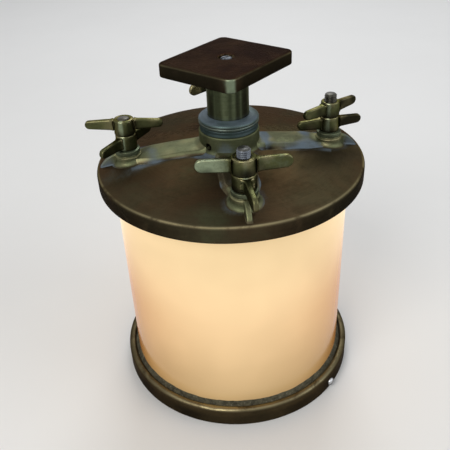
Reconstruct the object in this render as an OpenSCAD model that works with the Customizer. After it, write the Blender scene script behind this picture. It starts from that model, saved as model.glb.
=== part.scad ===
// Ship passageway lamp: an opal glass cylinder set in a brass base ring, closed by a
// cast brass cover that four studs and eight wing nuts hold down, with a stem and a
// mounting plate on top. Millimetres, +Z up, origin at the middle of the foot.

/* [Glass] */
// Outside diameter of the opal glass
glass_d = 196.6; // [180:0.1:230]
// Wall of the opal glass
glass_wall = 4.5; // [3:0.1:6]
// Length of the opal glass
glass_len = 189; // [150:1:260]

/* [Base ring] */
// Width of the putty band between the glass and the lip of the base ring
putty_w = 3.2; // [2.5:0.1:8]
// Width of the rounded lip of the base ring
lip_w = 6.6; // [5:0.1:7.6]
// Height of the base ring at its lip
base_h = 17.9; // [16:0.1:26]
// Height of the channel floor that the glass stands on
floor_h = 10.7; // [10.4:0.1:12]
// Bed of putty under the glass
bed_t = 1.5; // [0.8:0.1:2.5]
// How far the putty climbs the glass above the lip
putty_rise = 2; // [1:0.1:6]
// Inner lip of the base ring, thickness
inner_lip_t = 2; // [1.5:0.1:4]

/* [Base plate and screws] */
// Sheet thickness of the base plate
plate_sheet = 2; // [1.5:0.1:2]
// Clearance of the base plate inside the ring
plate_gap = 0.2; // [0.1:0.05:0.5]
// Height of the radial screws above the foot
screw_z = 6.1; // [5.8:0.1:6.5]
// Shank diameter of the radial screws
screw_d = 4; // [3:0.5:4]
// Head diameter of the radial screws
screw_head_d = 7.4; // [6:0.1:8]
// Head height of the radial screws
screw_head_h = 2.5; // [1.8:0.1:3]
// Cable hole of the rubber bush in the back of the base ring
cable_d = 5; // [4:0.1:5.2]
// Height of the cable hole above the foot
cable_z = 6.2; // [5.8:0.1:6.5]
// Wall of the rubber bush
bush_wall = 1.1; // [0.8:0.1:1.2]

/* [Top ring and gasket] */
// Putty between the glass and the skirt of the top ring
top_putty_w = 1.2; // [0.8:0.1:2.5]
// Wall of the top ring's skirt
top_skirt_t = 3; // [2:0.1:4]
// Flange thickness of the top ring at the studs
flange_t = 5; // [4:0.1:8]
// Depth of the top ring's skirt below its face
top_skirt_h = 8.3; // [7:0.1:9]
// Gasket thickness
gasket_t = 2; // [1:0.1:4]

/* [Cover] */
// How far the cover stands out beyond the glass
overhang = 12.7; // [11.8:0.1:18]
// Wall of the domed cover
cover_wall = 5; // [4:0.1:6]
// Thickness of the cover above its seat at the outer edge
edge_t = 2; // [1.5:0.1:4]
// Rise of the dome from the edge to the middle
dome_rise = 11.2; // [8:0.1:16]
// Depth of the cover's skirt below its seat
skirt_drop = 11.3; // [9:0.1:16]
// Wall of the cover's skirt
skirt_t = 5.5; // [3.5:0.1:6.5]
// Rounding of the cover's upper edge
edge_round = 3; // [1.5:0.1:3.4]

/* [Hub, arms and bosses] */
// Diameter of the hub
hub_d = 49.6; // [44:0.1:60]
// Height of the hub above the top of the dome
hub_h = 15.4; // [12:0.1:24]
// Width of an arm
arm_w = 24; // [16:0.1:25]
// Rounding of an arm's upper edges
arm_round = 2; // [1:0.1:2.4]
// Height of an arm above the dome
arm_rise = 2.8; // [2:0.1:3.4]
// Diameter of a boss at its top
boss_d = 18.8; // [17:0.1:20]
// Diameter of a boss at its foot
boss_foot_d = 27.6; // [26:0.1:30]
// Height of the sloping shoulder between a boss's foot and its top
boss_slope = 3.4; // [2:0.1:4]
// Height of a boss above the cover's seat
boss_h = 14.1; // [12:0.1:18]
// Thickness of the gusset outside each boss
gusset_t = 5.4; // [3:0.1:7]
// Radius of the curve along a gusset's back
gusset_bulge = 24; // [16:1:60]
// Fillet where the hub meets the dome
foot_fillet = 5; // [4:0.1:6]

/* [Studs and washers] */
// Stud diameter
stud_d = 10; // [8:0.5:10]
// Length of a stud
stud_len = 63; // [60:0.5:66]
// Distance of the stud circle inside the glass's outer face
stud_inset = 14.4; // [14:0.1:19]
// Play of the studs in the cover's bosses
stud_play = 0.6; // [0.4:0.1:1]
// Washer diameter
washer_d = 20.2; // [18.5:0.1:20.4]
// Washer thickness
washer_t = 4; // [2:0.1:6]
// Width across flats of the thin hexagon nuts under the top ring
hex_af = 16; // [15:0.5:17]
// Thickness of the thin hexagon nuts
hex_t = 5; // [4:0.5:6]

/* [Wing nuts] */
// Height of a wing nut
nut_h = 12.7; // [12.4:0.1:16]
// Running clearance between a nut's bore and its stud
nut_play = 0.05; // [0.02:0.01:0.1]
// Barrel diameter of the two front nuts
front_barrel_d = 18.6; // [16:0.1:20]
// Barrel diameter of the two right-hand nuts
right_barrel_d = 15.8; // [14.5:0.1:20]
// Barrel diameter of the left and back nuts
left_barrel_d = 17; // [15:0.1:20]
// Span of the two front nuts, tip to tip
front_span = 69; // [50:0.5:70]
// Span of the two right-hand nuts, tip to tip
right_span = 56; // [48:0.5:68]
// Span of the left and back nuts, tip to tip
left_span = 62; // [50:0.5:68]
// Thickness of a wing
wing_t = 4.6; // [3.5:0.1:6]
// Height of a wing at its tip
wing_tip_h = 9.8; // [7:0.1:10.8]
// Height of a wing at its root
wing_root_h = 10.8; // [9:0.1:11.4]
// Height of the middle of the wings above the nut's foot
wing_mid = 6.2; // [5.9:0.1:6.5]
// Fillet between a wing and the barrel
wing_fillet = 3.4; // [1.5:0.1:4]

/* [Stem] */
// Outside diameter of the stem
stem_d = 33.7; // [30:0.1:38]
// Wall of the stem
stem_wall = 3.4; // [2:0.1:5]
// Stem showing between the hub's rim and the mounting plate
stem_rise = 47.3; // [30:0.1:80]
// Play of the stem in the hub and the rings
stem_play = 0.1; // [0.05:0.05:0.3]
// Height of the plain ring on the hub
neck_h = 5; // [3:0.1:8]
// Diameter of the plain ring on the hub
neck_d = 48; // [44:0.1:60]
// Height of the grooved collar
collar_h = 6.9; // [6:0.1:12]
// Diameter of the grooved collar
collar_d = 49.2; // [44:0.1:60]
// Depth of the collar's groove
groove_depth = 1; // [0.5:0.1:1.6]
// Diameter of the set screw in the hub
set_screw_d = 4.2; // [3:0.1:6]
// How deep the set screw lies below the hub's face
set_screw_depth = 1.4; // [0.5:0.1:3]

/* [Mounting plate] */
// Short side of the mounting plate
mount_w = 72.5; // [60:0.1:90]
// Long side of the mounting plate
mount_l = 81.8; // [60:0.1:110]
// Thickness of the mounting plate
mount_t = 10.6; // [8:0.1:14]
// Corner radius of the mounting plate
mount_corner = 6.5; // [4:0.5:14]
// Angle of the mounting plate to the arms
mount_turn = 45; // [0:1:90]
// How deep the stem stands in the mounting plate
socket_depth = 4; // [2:0.1:4.4]
// Head diameter of the middle screw in the mounting plate
cap_head_d = 11; // [9:0.1:14]
// Head height of the middle screw
cap_head_h = 3; // [2:0.1:3.4]
// Shank diameter of the middle screw
cap_screw_d = 6; // [4:0.1:8]

/* [Lampholder and bulb] */
// Height that the bracket lifts the lampholder
holder_lift = 22; // [19:0.5:34]
// Height of the porcelain lampholder
holder_h = 46; // [40:0.5:54]
// Diameter of the porcelain lampholder
holder_d = 38; // [36:0.5:50]
// Width of the bracket strip
bracket_w = 24; // [20:0.5:36]
// Thickness of the bracket strip
bracket_t = 2; // [1:0.1:3]
// Length of the bracket's feet
bracket_foot = 13; // [10:0.5:20]
// Diameter of the bracket's screws
bracket_screw_d = 4; // [3:0.5:5]
// Height of the terminal block
terminal_h = 12; // [8:0.5:14]
// Length of the terminal block
terminal_l = 18; // [14:0.5:24]
// Diameter of an insulated wire
wire_d = 2.6; // [1.5:0.1:3]
// Distance of each wire from the middle
wire_gap = 4; // [3.2:0.1:5]
// Thread diameter of the bulb's cap
cap_d = 26.2; // [24:0.1:27]
// Play of the bulb's cap in the lampholder's shell
cap_play = 0.1; // [0.05:0.01:0.1]
// Overall length of the bulb
bulb_len = 105; // [95:1:120]
// Diameter of the bulb
bulb_d = 60; // [45:1:70]

/* [Hidden] */

$fn = 96;
dome_fn = 720;
eps = 0.01;

// Order of every list of four: front, right, back, left
corner_angles = [-90, 0, 90, 180];
screw_angles = [-45, 135];
barrel_ds = [front_barrel_d, right_barrel_d, left_barrel_d, left_barrel_d];
spans = [front_span, right_span, left_span, left_span];
// Direction of each nut's wings, as they were left when tightened
clamp_turns = [-85, 8.5, 82, 51.5];
lock_turns = [-5.5, 28, 31, -6.1];
// Stud ends above the upper nut
stud_shows = [4.6, 5.9, 2.9, 0.3];

glass_r = glass_d / 2;
glass_in_r = glass_r - glass_wall;

// Base ring
base_r = glass_r + putty_w + lip_w;
channel_out_r = glass_r + putty_w;
channel_in_r = glass_in_r - 1.5;
base_bore_r = channel_in_r - inner_lip_t;
inner_lip_h = 4;
foot_chamfer = 0.8;
glass_z = floor_h + bed_t;
glass_top = glass_z + glass_len;

// Base plate
base_plate_z = 0.8;
base_plate_r = base_bore_r - plate_gap;
base_plate_top = base_plate_z + plate_sheet;
base_flange_t = 2.6;
base_flange_h = 10;
bush_r = cable_d / 2 + bush_wall;
bush_lip = 0.8;
bush_start = base_plate_r - base_flange_t - 1;

// Top ring
ring_cap = 1;
ring_ceiling = glass_top + ring_cap;
ring_top = ring_ceiling + 3;
ring_in_r = glass_r - stud_inset - hex_af * 0.5774 - 2;
ring_out_r = glass_r + top_putty_w + top_skirt_t;
ring_flange_z = ring_top - flange_t;

// Cover
seat_z = ring_top + gasket_t;
cover_r = glass_r + overhang;
skirt_in_r = cover_r - skirt_t;
skirt_z = seat_z - skirt_drop;
edge_z = seat_z + edge_t;
crown_z = edge_z + dome_rise;
dome_r = (pow(cover_r, 2) + pow(dome_rise, 2)) / (2 * dome_rise);
dome_c = crown_z - dome_r;
function dome_z(r) = dome_c + sqrt(pow(dome_r, 2) - pow(r, 2));
stud_r = glass_r - stud_inset;
pad_in_r = stud_r - boss_foot_d / 2 - 1;
under_hub_r = hub_d / 2 - 2.5;
gasket_in_r = ring_in_r + 1.5;
gasket_out_r = ring_out_r - 0.4;

// Hub, arms and bosses
stem_r = stem_d / 2;
stem_bore_r = stem_r + stem_play;
hub_r = hub_d / 2;
hub_top = crown_z + hub_h;
hub_round = 1.2;
boss_top = seat_z + boss_h;
arm_root_r = stem_bore_r + 3;
arm_bend = dome_r + arm_rise;
arm_depth = arm_rise + cover_wall / 2;
gusset_out_r = cover_r - edge_round;

// Stem and rings
stem_floor = seat_z + 3;
stem_hole_r = stem_r - stem_wall;
neck_top = hub_top + neck_h;
collar_top = neck_top + collar_h;
mount_z = hub_top + stem_rise;
mount_top = mount_z + mount_t;
stem_top = mount_z + socket_depth;
stem_end_t = 9;
set_screw_z = hub_top - 9.4;
set_screw_angle = 220;

// Studs and nuts
nut_z = boss_top + washer_t;
lock_z = nut_z + nut_h;
nuts_top = lock_z + nut_h;
nut_bore_r = stud_d / 2 + nut_play;

// Lampholder
holder_z = base_plate_top + holder_lift;
holder_top = holder_z + holder_h;
shell_t = 0.7;
holder_mouth_r = cap_d / 2 + cap_play + shell_t;
bracket_half = holder_d / 2 + bracket_t;
bracket_screw_x = bracket_half + bracket_foot * 0.55;
wire_y = terminal_l / 5;
contact_h = 3;
cap_h = 28;
cap_z = holder_top - cap_h;
holder_cup = cap_z - holder_z - contact_h - 1;
bulb_top = cap_z - 1 + bulb_len;
bulb_mid = bulb_top - bulb_d / 2;

// A copy of the children at each of the four corners
module at_corners() {
    for (a = corner_angles) rotate([0, 0, a]) translate([stud_r, 0, 0]) children();
}

// A solid of revolution with a plain rectangular section
module band(r_in, r_out, z0, z1) {
    rotate_extrude() translate([r_in, z0]) square([r_out - r_in, z1 - z0]);
}

// Base ring: an outer lip with a full round, a channel for the glass and an inner lip
module base_ring() {
    color("darkgoldenrod") difference() {
        rotate_extrude() {
            polygon([[base_bore_r, 0], [base_r - foot_chamfer, 0], [base_r, foot_chamfer],
                     [base_r, base_h - lip_w / 2], [channel_out_r, base_h - lip_w / 2],
                     [channel_out_r, floor_h], [channel_in_r, floor_h],
                     [channel_in_r, floor_h + inner_lip_h], [base_bore_r, floor_h + inner_lip_h]]);
            translate([base_r - lip_w / 2, base_h - lip_w / 2]) circle(lip_w / 2);
        }
        for (a = screw_angles) rotate([0, 0, a]) translate([base_bore_r - 1, 0, screw_z])
            rotate([0, 90, 0]) cylinder(r = screw_d / 2 + 0.2, h = base_r - base_bore_r + 2);
        translate([0, base_bore_r - 1, cable_z])
            rotate([-90, 0, 0]) cylinder(r = bush_r, h = base_r - base_bore_r + 2);
    }
}

// Base plate: a shallow turned dish whose upturned edge takes the radial screws
module base_plate() {
    color("peru") difference() {
        union() {
            translate([0, 0, base_plate_z]) cylinder(r = base_plate_r, h = plate_sheet);
            band(base_plate_r - base_flange_t, base_plate_r, base_plate_z, base_plate_z + base_flange_h);
        }
        for (a = screw_angles) rotate([0, 0, a])
            translate([base_plate_r - base_flange_t - 1, 0, screw_z])
                rotate([0, 90, 0]) cylinder(r = screw_d / 2, h = base_flange_t + 2);
        translate([0, bush_start, cable_z])
            rotate([-90, 0, 0]) cylinder(r = bush_r, h = base_flange_t + 2);
    }
}

// Two radial pan-head screws through the base ring into the base plate
module base_screws() {
    color("silver") for (a = screw_angles) rotate([0, 0, a])
        translate([0, 0, screw_z]) rotate([0, 90, 0]) {
            translate([0, 0, base_plate_r - base_flange_t - 1])
                cylinder(r = screw_d / 2, h = base_r - base_plate_r + base_flange_t + 1);
            translate([0, 0, base_r]) cylinder(r1 = screw_head_d / 2, r2 = screw_head_d / 2 - 1.2,
                                               h = screw_head_h);
        }
}

// Rubber bush in the back of the base ring, for the supply cable
module cable_bush() {
    color("dimgray") translate([0, 0, cable_z]) rotate([-90, 0, 0]) rotate_extrude()
        polygon([[cable_d / 2, bush_start], [bush_r, bush_start], [bush_r, base_r],
                 [bush_r + bush_lip, base_r], [bush_r + bush_lip, base_r + 1.4],
                 [cable_d / 2, base_r + 1.4]]);
}

// Putty that beds the glass in the base ring and slopes up the glass
module lower_putty() {
    lip_foot = base_h - lip_w / 2 + 0.4;
    color("gray") rotate_extrude()
        polygon([[channel_in_r, floor_h], [channel_out_r, floor_h], [channel_out_r, lip_foot],
                 [glass_r, base_h + putty_rise], [glass_r, glass_z], [glass_in_r, glass_z],
                 [glass_in_r, glass_z + 2], [channel_in_r, glass_z + 1]]);
}

module glass() {
    color("cornsilk") band(glass_in_r, glass_r, glass_z, glass_top);
}

// Putty between the glass and the top ring
module upper_putty() {
    out_r = glass_r + top_putty_w;
    color("gray") rotate_extrude()
        polygon([[glass_in_r - 1.5, glass_top], [glass_in_r - 1.5, ring_ceiling], [out_r, ring_ceiling],
                 [out_r, ring_top - top_skirt_h], [glass_r, ring_top - top_skirt_h],
                 [glass_r, glass_top]]);
}

// Top ring: a channel over the glass and a flange that carries the studs
module top_ring() {
    out_r = glass_r + top_putty_w;
    color("darkgoldenrod") difference() {
        rotate_extrude()
            polygon([[ring_in_r, ring_flange_z], [ring_in_r, ring_top], [ring_out_r, ring_top],
                     [ring_out_r, ring_top - top_skirt_h], [out_r, ring_top - top_skirt_h],
                     [out_r, ring_ceiling], [glass_in_r - 1.5, ring_ceiling],
                     [glass_in_r - 1.5, ring_flange_z]]);
        at_corners() translate([0, 0, ring_flange_z - 1]) cylinder(d = stud_d, h = flange_t + 2);
    }
}

// Thin hexagon nuts that lock the studs under the top ring
module stud_lock_nuts() {
    color("goldenrod") at_corners() difference() {
        translate([0, 0, ring_flange_z - hex_t]) cylinder(d = hex_af / cos(30), h = hex_t, $fn = 6);
        translate([0, 0, ring_flange_z - hex_t - 1]) cylinder(d = stud_d, h = hex_t + 2);
    }
}

// Four studs, each a plain shank at its thread's size, with chamfered ends
module studs() {
    bevel = 1;
    color("lightslategray") for (i = [0:3]) rotate([0, 0, corner_angles[i]])
        translate([stud_r, 0, nuts_top + stud_shows[i] - stud_len]) rotate_extrude()
            polygon([[0, 0], [stud_d / 2 - bevel, 0], [stud_d / 2, bevel],
                     [stud_d / 2, stud_len - bevel], [stud_d / 2 - bevel, stud_len], [0, stud_len]]);
}

// Rubber gasket between the top ring and the cover
module cover_gasket() {
    color("black") difference() {
        band(gasket_in_r, gasket_out_r, ring_top, seat_z);
        at_corners() translate([0, 0, ring_top - 1]) cylinder(d = stud_d + 2 * stud_play, h = gasket_t + 2);
    }
}

// Steel strip bent to a hat, which lifts the lampholder over the terminals
module holder_bracket() {
    toe = bracket_half + bracket_foot;
    inner = bracket_half - bracket_t;
    foot_top = base_plate_top + bracket_t;
    color("lightgray") difference() {
        translate([0, bracket_w / 2, 0]) rotate([90, 0, 0]) linear_extrude(bracket_w)
            polygon([[-toe, base_plate_top], [-inner, base_plate_top], [-inner, holder_z - bracket_t],
                     [inner, holder_z - bracket_t], [inner, base_plate_top], [toe, base_plate_top],
                     [toe, foot_top], [bracket_half, foot_top], [bracket_half, holder_z],
                     [-bracket_half, holder_z], [-bracket_half, foot_top], [-toe, foot_top]]);
        translate([0, 0, holder_z - bracket_t - 1])
            cylinder(r = norm([wire_gap, wire_y]) + wire_d, h = bracket_t + 2);
        for (x = [-1, 1]) translate([x * bracket_screw_x, 0, base_plate_top - 1])
            cylinder(d = bracket_screw_d + 0.4, h = bracket_t + 2);
    }
}

// Two pan-head screws on the bracket's feet, seated on the strip
module bracket_screws() {
    head_r = bracket_screw_d * 0.9;
    color("silver") for (x = [-1, 1]) translate([x * bracket_screw_x, 0, base_plate_top]) {
        cylinder(d = bracket_screw_d, h = bracket_t);
        translate([0, 0, bracket_t]) cylinder(r1 = head_r, r2 = head_r - 1, h = bracket_screw_d * 0.6);
    }
}

// Two-way terminal block on the base plate, for the supply cable
module terminal_block() {
    way_r = 1.7;
    color("ivory") difference() {
        translate([-2 * wire_gap, -terminal_l / 2, base_plate_top])
            cube([4 * wire_gap, terminal_l, terminal_h]);
        for (x = [-1, 1]) translate([x * wire_gap, 0, base_plate_top + terminal_h / 3]) {
            translate([0, -terminal_l, 0]) rotate([-90, 0, 0]) cylinder(r = way_r, h = 2 * terminal_l);
            translate([0, -terminal_l / 4, 0]) cylinder(r = way_r + 0.3, h = terminal_h);
        }
    }
}

// Two insulated wires from the terminals up into the lampholder
module inner_wires() {
    color("saddlebrown") for (x = [-1, 1])
        translate([x * wire_gap, wire_y, base_plate_top + terminal_h])
            cylinder(d = wire_d, h = holder_z - base_plate_top - terminal_h);
}

// Porcelain lampholder with a cup for the bulb's cap
module lampholder() {
    r = holder_d / 2;
    color("whitesmoke") translate([0, 0, holder_z]) rotate_extrude() difference() {
        union() {
            square([r, 8]);
            translate([0, 7]) square([r - 2, holder_h - 9]);
            square([r - 4, holder_h]);
            translate([r - 4, holder_h - 2]) circle(2);
        }
        translate([0, holder_cup]) square([holder_mouth_r, holder_h]);
    }
}

// Brass screw shell lining the lampholder's cup
module holder_shell() {
    color("gold")
        band(holder_mouth_r - shell_t, holder_mouth_r, holder_z + holder_cup, holder_top - contact_h);
}

// Spring contact at the bottom of the lampholder's cup
module holder_contact() {
    color("gold") translate([0, 0, holder_z + holder_cup]) {
        cylinder(d = 12, h = 1);
        cylinder(d = 6, h = contact_h);
    }
}

// Screw cap of the bulb, with its end contact
module bulb_cap() {
    color("silver") rotate_extrude() polygon([
        [0, cap_z - 1], [4, cap_z - 1], [5, cap_z], [8, cap_z + 4], [cap_d / 2, cap_z + 5],
        [cap_d / 2, cap_z + cap_h], [cap_d / 2 - 1, cap_z + cap_h], [cap_d / 2 - 1, cap_z + 6.5],
        [0, cap_z + 6.5]]);
}

// Glass envelope of the bulb: a sphere on a neck that flares from the cap
module bulb_envelope() {
    r = bulb_d / 2;
    wall = 1;
    neck_r = cap_d / 2;
    neck_z = cap_z + cap_h;
    color("white") rotate_extrude() difference() {
        intersection() {
            union() {
                translate([0, bulb_mid]) circle(r);
                polygon([[0, neck_z], [neck_r, neck_z], [r * 0.86, bulb_mid - r * 0.51], [0, bulb_mid]]);
            }
            translate([0, neck_z]) square([r + 1, bulb_len]);
        }
        translate([0, bulb_mid]) circle(r - wall);
        polygon([[0, neck_z - 1], [neck_r - wall, neck_z - 1], [neck_r - wall, neck_z],
                 [(r - wall) * 0.86, bulb_mid - (r - wall) * 0.51], [0, bulb_mid]]);
    }
}

// Half section of the domed plate, solid down to the end of its skirt
module dome_section() {
    rc = cover_r - edge_round;
    zc = dome_c + sqrt(pow(dome_r - edge_round, 2) - pow(rc, 2));
    intersection() {
        translate([0, dome_c]) circle(dome_r, $fn = dome_fn);
        translate([0, skirt_z]) square([rc, crown_z - skirt_z + 1]);
    }
    translate([rc - eps, skirt_z]) square([edge_round + eps, zc - skirt_z]);
    translate([rc, zc]) circle(edge_round);
}

// Half section of the hub, with its rounded rim and the fillet at its foot
module hub_section() {
    fx = hub_r + foot_fillet;
    fz = dome_c + sqrt(pow(dome_r + foot_fillet, 2) - pow(fx, 2));
    tx = fx * dome_r / (dome_r + foot_fillet);
    tz = dome_c + (fz - dome_c) * dome_r / (dome_r + foot_fillet);
    translate([0, crown_z - cover_wall / 2]) square([hub_r, hub_h + cover_wall / 2 - hub_round]);
    translate([0, hub_top - 2]) square([hub_r - hub_round, 2]);
    translate([hub_r - hub_round, hub_top - hub_round]) circle(hub_round);
    difference() {
        polygon([[hub_r - 1, tz - 1], [tx, tz - 1], [tx, tz], [fx, fz], [hub_r - 1, fz]]);
        translate([fx, fz]) circle(foot_fillet);
    }
}

// Turned body of the cover: dome, skirt, hub, seat and hollow underside
module cover_body() {
    rotate_extrude() difference() {
        union() {
            dome_section();
            hub_section();
        }
        translate([-1, skirt_z - 1]) square([skirt_in_r + 1, skirt_drop + 1]);
        intersection() {
            translate([0, dome_c]) circle(dome_r - cover_wall, $fn = dome_fn);
            translate([under_hub_r, seat_z - 1]) square([pad_in_r - under_hub_r, crown_z - seat_z]);
        }
        translate([0, stem_floor]) square([stem_bore_r, hub_top]);
        translate([0, skirt_z]) square([stem_hole_r, hub_top]);
    }
}

// One arm along +X: a low, wide bar with rounded edges that follows the dome
module arm() {
    outer = asin(stud_r / arm_bend);
    inner = asin(arm_root_r / arm_bend);
    translate([0, 0, dome_c]) rotate([90, 0, 0]) rotate([0, 0, 90 - outer])
        rotate_extrude(angle = outer - inner, $fn = 360) translate([arm_bend - arm_depth, 0]) {
            translate([0, -arm_w / 2]) square([arm_depth - arm_round, arm_w]);
            translate([0, arm_round - arm_w / 2]) square([arm_depth, arm_w - 2 * arm_round]);
            for (s = [-1, 1]) translate([arm_depth - arm_round, s * (arm_w / 2 - arm_round)])
                circle(arm_round);
        }
}

// Turned boss with a wide foot and a sloping shoulder
module boss() {
    top_r = boss_d / 2;
    foot_r = boss_foot_d / 2;
    shoulder = boss_top - 0.8;
    rotate_extrude() polygon([[0, seat_z + 1], [foot_r, seat_z + 1], [foot_r, shoulder - boss_slope],
                              [top_r, shoulder], [top_r, boss_top], [0, boss_top]]);
}

// Gusset outside a boss, bulging a little as it slopes down to the cover's edge
module gusset() {
    x0 = stud_r + boss_d / 2 + 0.6;
    z0 = boss_top - 0.4;
    x1 = gusset_out_r;
    z1 = dome_z(gusset_out_r) - 0.5;
    chord = sqrt(pow(x1 - x0, 2) + pow(z0 - z1, 2));
    back = sqrt(pow(gusset_bulge, 2) - pow(chord / 2, 2)) / chord;
    translate([0, gusset_t / 2, 0]) rotate([90, 0, 0]) linear_extrude(gusset_t) {
        polygon([[stud_r, seat_z + 1], [stud_r, z0], [x0, z0], [x1, z1], [x1, seat_z + 1]]);
        intersection() {
            polygon([[x0, z0], [x1, z0], [x1, z1]]);
            translate([(x0 + x1) / 2 - (z0 - z1) * back, (z0 + z1) / 2 - (x1 - x0) * back])
                circle(gusset_bulge);
        }
    }
}

// Cast cover: domed plate, hub, four arms, four bosses and their gussets
module cover() {
    color("olive") difference() {
        union() {
            cover_body();
            for (a = corner_angles) rotate([0, 0, a]) {
                arm();
                gusset();
                translate([stud_r, 0, 0]) boss();
            }
        }
        at_corners() translate([0, 0, seat_z - 1])
            cylinder(d = stud_d + 2 * stud_play, h = boss_h + 2);
        rotate([0, 0, set_screw_angle]) translate([stem_r - 1, 0, set_screw_z])
            rotate([0, 90, 0]) cylinder(d = set_screw_d, h = hub_r);
    }
}

// Four thick washers on the bosses
module washers() {
    color("darkkhaki") at_corners() difference() {
        translate([0, 0, boss_top]) cylinder(d = washer_d, h = washer_t);
        translate([0, 0, boss_top - 1]) cylinder(d = stud_d + 2 * stud_play, h = washer_t + 2);
    }
}

// Stem: a tube with a closed, tapped upper end
module stem() {
    color("darkkhaki") rotate_extrude() polygon([
        [stem_hole_r, stem_floor], [stem_r, stem_floor], [stem_r, stem_top],
        [cap_screw_d / 2, stem_top], [cap_screw_d / 2, stem_top - stem_end_t],
        [stem_hole_r, stem_top - stem_end_t]]);
}

// Plain ring between the hub and the collar
module stem_neck_ring() {
    color("olivedrab") rotate_extrude() polygon([
        [stem_bore_r, hub_top], [neck_d / 2 - 0.5, hub_top], [neck_d / 2, hub_top + 0.5],
        [neck_d / 2, neck_top - 0.5], [neck_d / 2 - 0.5, neck_top], [stem_bore_r, neck_top]]);
}

// Collar: a rounded, sloping top over a grooved edge
module stem_collar() {
    r = collar_d / 2;
    bead = collar_h * 0.4;
    edge = 1.4;
    bead_top = neck_top + bead + 0.3 + 2 * edge;
    color("slategray") rotate_extrude() {
        polygon([[stem_bore_r, neck_top], [r - 0.5, neck_top], [r, neck_top + 0.5],
                 [r, neck_top + bead - 0.5], [r - groove_depth, neck_top + bead],
                 [r - groove_depth, neck_top + bead + 0.4], [r - edge, neck_top + bead + 0.4],
                 [r - edge, bead_top], [stem_r + 1.6, collar_top],
                 [stem_bore_r, collar_top]]);
        translate([r - edge, neck_top + bead + 0.3 + edge]) circle(edge);
    }
}

// Set screw that locks the stem in the hub
module stem_set_screw() {
    color("dimgray") rotate([0, 0, set_screw_angle]) translate([stem_r, 0, set_screw_z])
        rotate([0, 90, 0]) cylinder(d = set_screw_d, h = hub_r - stem_r - set_screw_depth);
}

// Mounting plate with a socket for the stem and a seat for the middle screw
module mounting_plate() {
    hw = mount_w / 2 - mount_corner;
    hl = mount_l / 2 - mount_corner;
    color("saddlebrown") rotate([0, 0, -mount_turn]) difference() {
        translate([0, 0, mount_z]) linear_extrude(mount_t) {
            square([mount_w, mount_l - 2 * mount_corner], center = true);
            square([mount_w - 2 * mount_corner, mount_l], center = true);
            for (x = [-hw, hw], y = [-hl, hl]) translate([x, y]) circle(mount_corner);
        }
        translate([0, 0, mount_z - 1]) cylinder(r = stem_r, h = socket_depth + 1);
        translate([0, 0, mount_z]) cylinder(d = cap_screw_d + 0.4, h = mount_t + 1);
        translate([0, 0, mount_top - cap_head_h]) cylinder(d = cap_head_d + 0.6, h = cap_head_h + 1);
    }
}

// Middle screw that holds the mounting plate on the stem
module plate_screw() {
    color("silver") {
        translate([0, 0, stem_top - stem_end_t + 1])
            cylinder(d = cap_screw_d, h = mount_top - cap_head_h - stem_top + stem_end_t - 1);
        translate([0, 0, mount_top - cap_head_h]) cylinder(r1 = cap_head_d / 2, r2 = cap_head_d / 2 - 1.4,
                                                           h = cap_head_h - 0.4);
    }
}

// Fillet in plan between a barrel of radius r and one side of a wing
module root_fillet(r) {
    y = wing_t / 2 + wing_fillet;
    x = sqrt(pow(r + wing_fillet, 2) - pow(y, 2));
    difference() {
        polygon([[0, 0], [x, 0], [x, y]]);
        translate([x, y]) circle(wing_fillet, $fn = 48);
    }
}

// Wing nut: a bored barrel and two straight wings with round ends and root fillets
module wing_nut(barrel_d, span) {
    r = barrel_d / 2;
    tip_r = wing_tip_h / 2;
    tip_x = span / 2 - tip_r;
    top_bevel = 1.3;
    difference() {
        union() {
            rotate_extrude() polygon([[0, 0], [r - 0.6, 0], [r, 0.8], [r, nut_h - top_bevel],
                                      [r - top_bevel, nut_h], [0, nut_h]]);
            translate([0, wing_t / 2, wing_mid]) rotate([90, 0, 0]) linear_extrude(wing_t) {
                polygon([[-tip_x, -tip_r], [-r / 2, -wing_root_h / 2], [r / 2, -wing_root_h / 2],
                         [tip_x, -tip_r], [tip_x, tip_r], [r / 2, wing_root_h / 2],
                         [-r / 2, wing_root_h / 2], [-tip_x, tip_r]]);
                for (s = [-1, 1]) translate([s * tip_x, 0]) circle(tip_r, $fn = 48);
            }
            translate([0, 0, wing_mid - tip_r]) linear_extrude(wing_tip_h)
                for (sx = [0, 1], sy = [0, 1]) mirror([sx, 0]) mirror([0, sy]) root_fillet(r);
        }
        translate([0, 0, -1]) cylinder(r = nut_bore_r, h = nut_h + 2);
    }
}

// The nut of corner i, at height z, with its wings turned to angle turn
module placed_nut(i, z, turn) {
    rotate([0, 0, corner_angles[i]]) translate([stud_r, 0, z])
        rotate([0, 0, turn - corner_angles[i]]) wing_nut(barrel_ds[i], spans[i]);
}

module clamp_nut(i) {
    color("darkkhaki") placed_nut(i, nut_z, clamp_turns[i]);
}

module lock_nut(i) {
    color("khaki") placed_nut(i, lock_z, lock_turns[i]);
}

base_ring();
base_plate();
base_screws();
cable_bush();
lower_putty();
glass();
upper_putty();
top_ring();
stud_lock_nuts();
studs();
cover_gasket();
holder_bracket();
bracket_screws();
terminal_block();
inner_wires();
lampholder();
holder_shell();
holder_contact();
bulb_cap();
bulb_envelope();
cover();
washers();
stem();
stem_neck_ring();
stem_collar();
stem_set_screw();
mounting_plate();
plate_screw();
clamp_nut(0);  // front_clamp_nut
lock_nut(0);  // front_lock_nut
clamp_nut(1);  // right_clamp_nut
lock_nut(1);  // right_lock_nut
clamp_nut(2);  // back_clamp_nut
lock_nut(2);  // back_lock_nut
clamp_nut(3);  // left_clamp_nut
lock_nut(3);  // left_lock_nut
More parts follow.
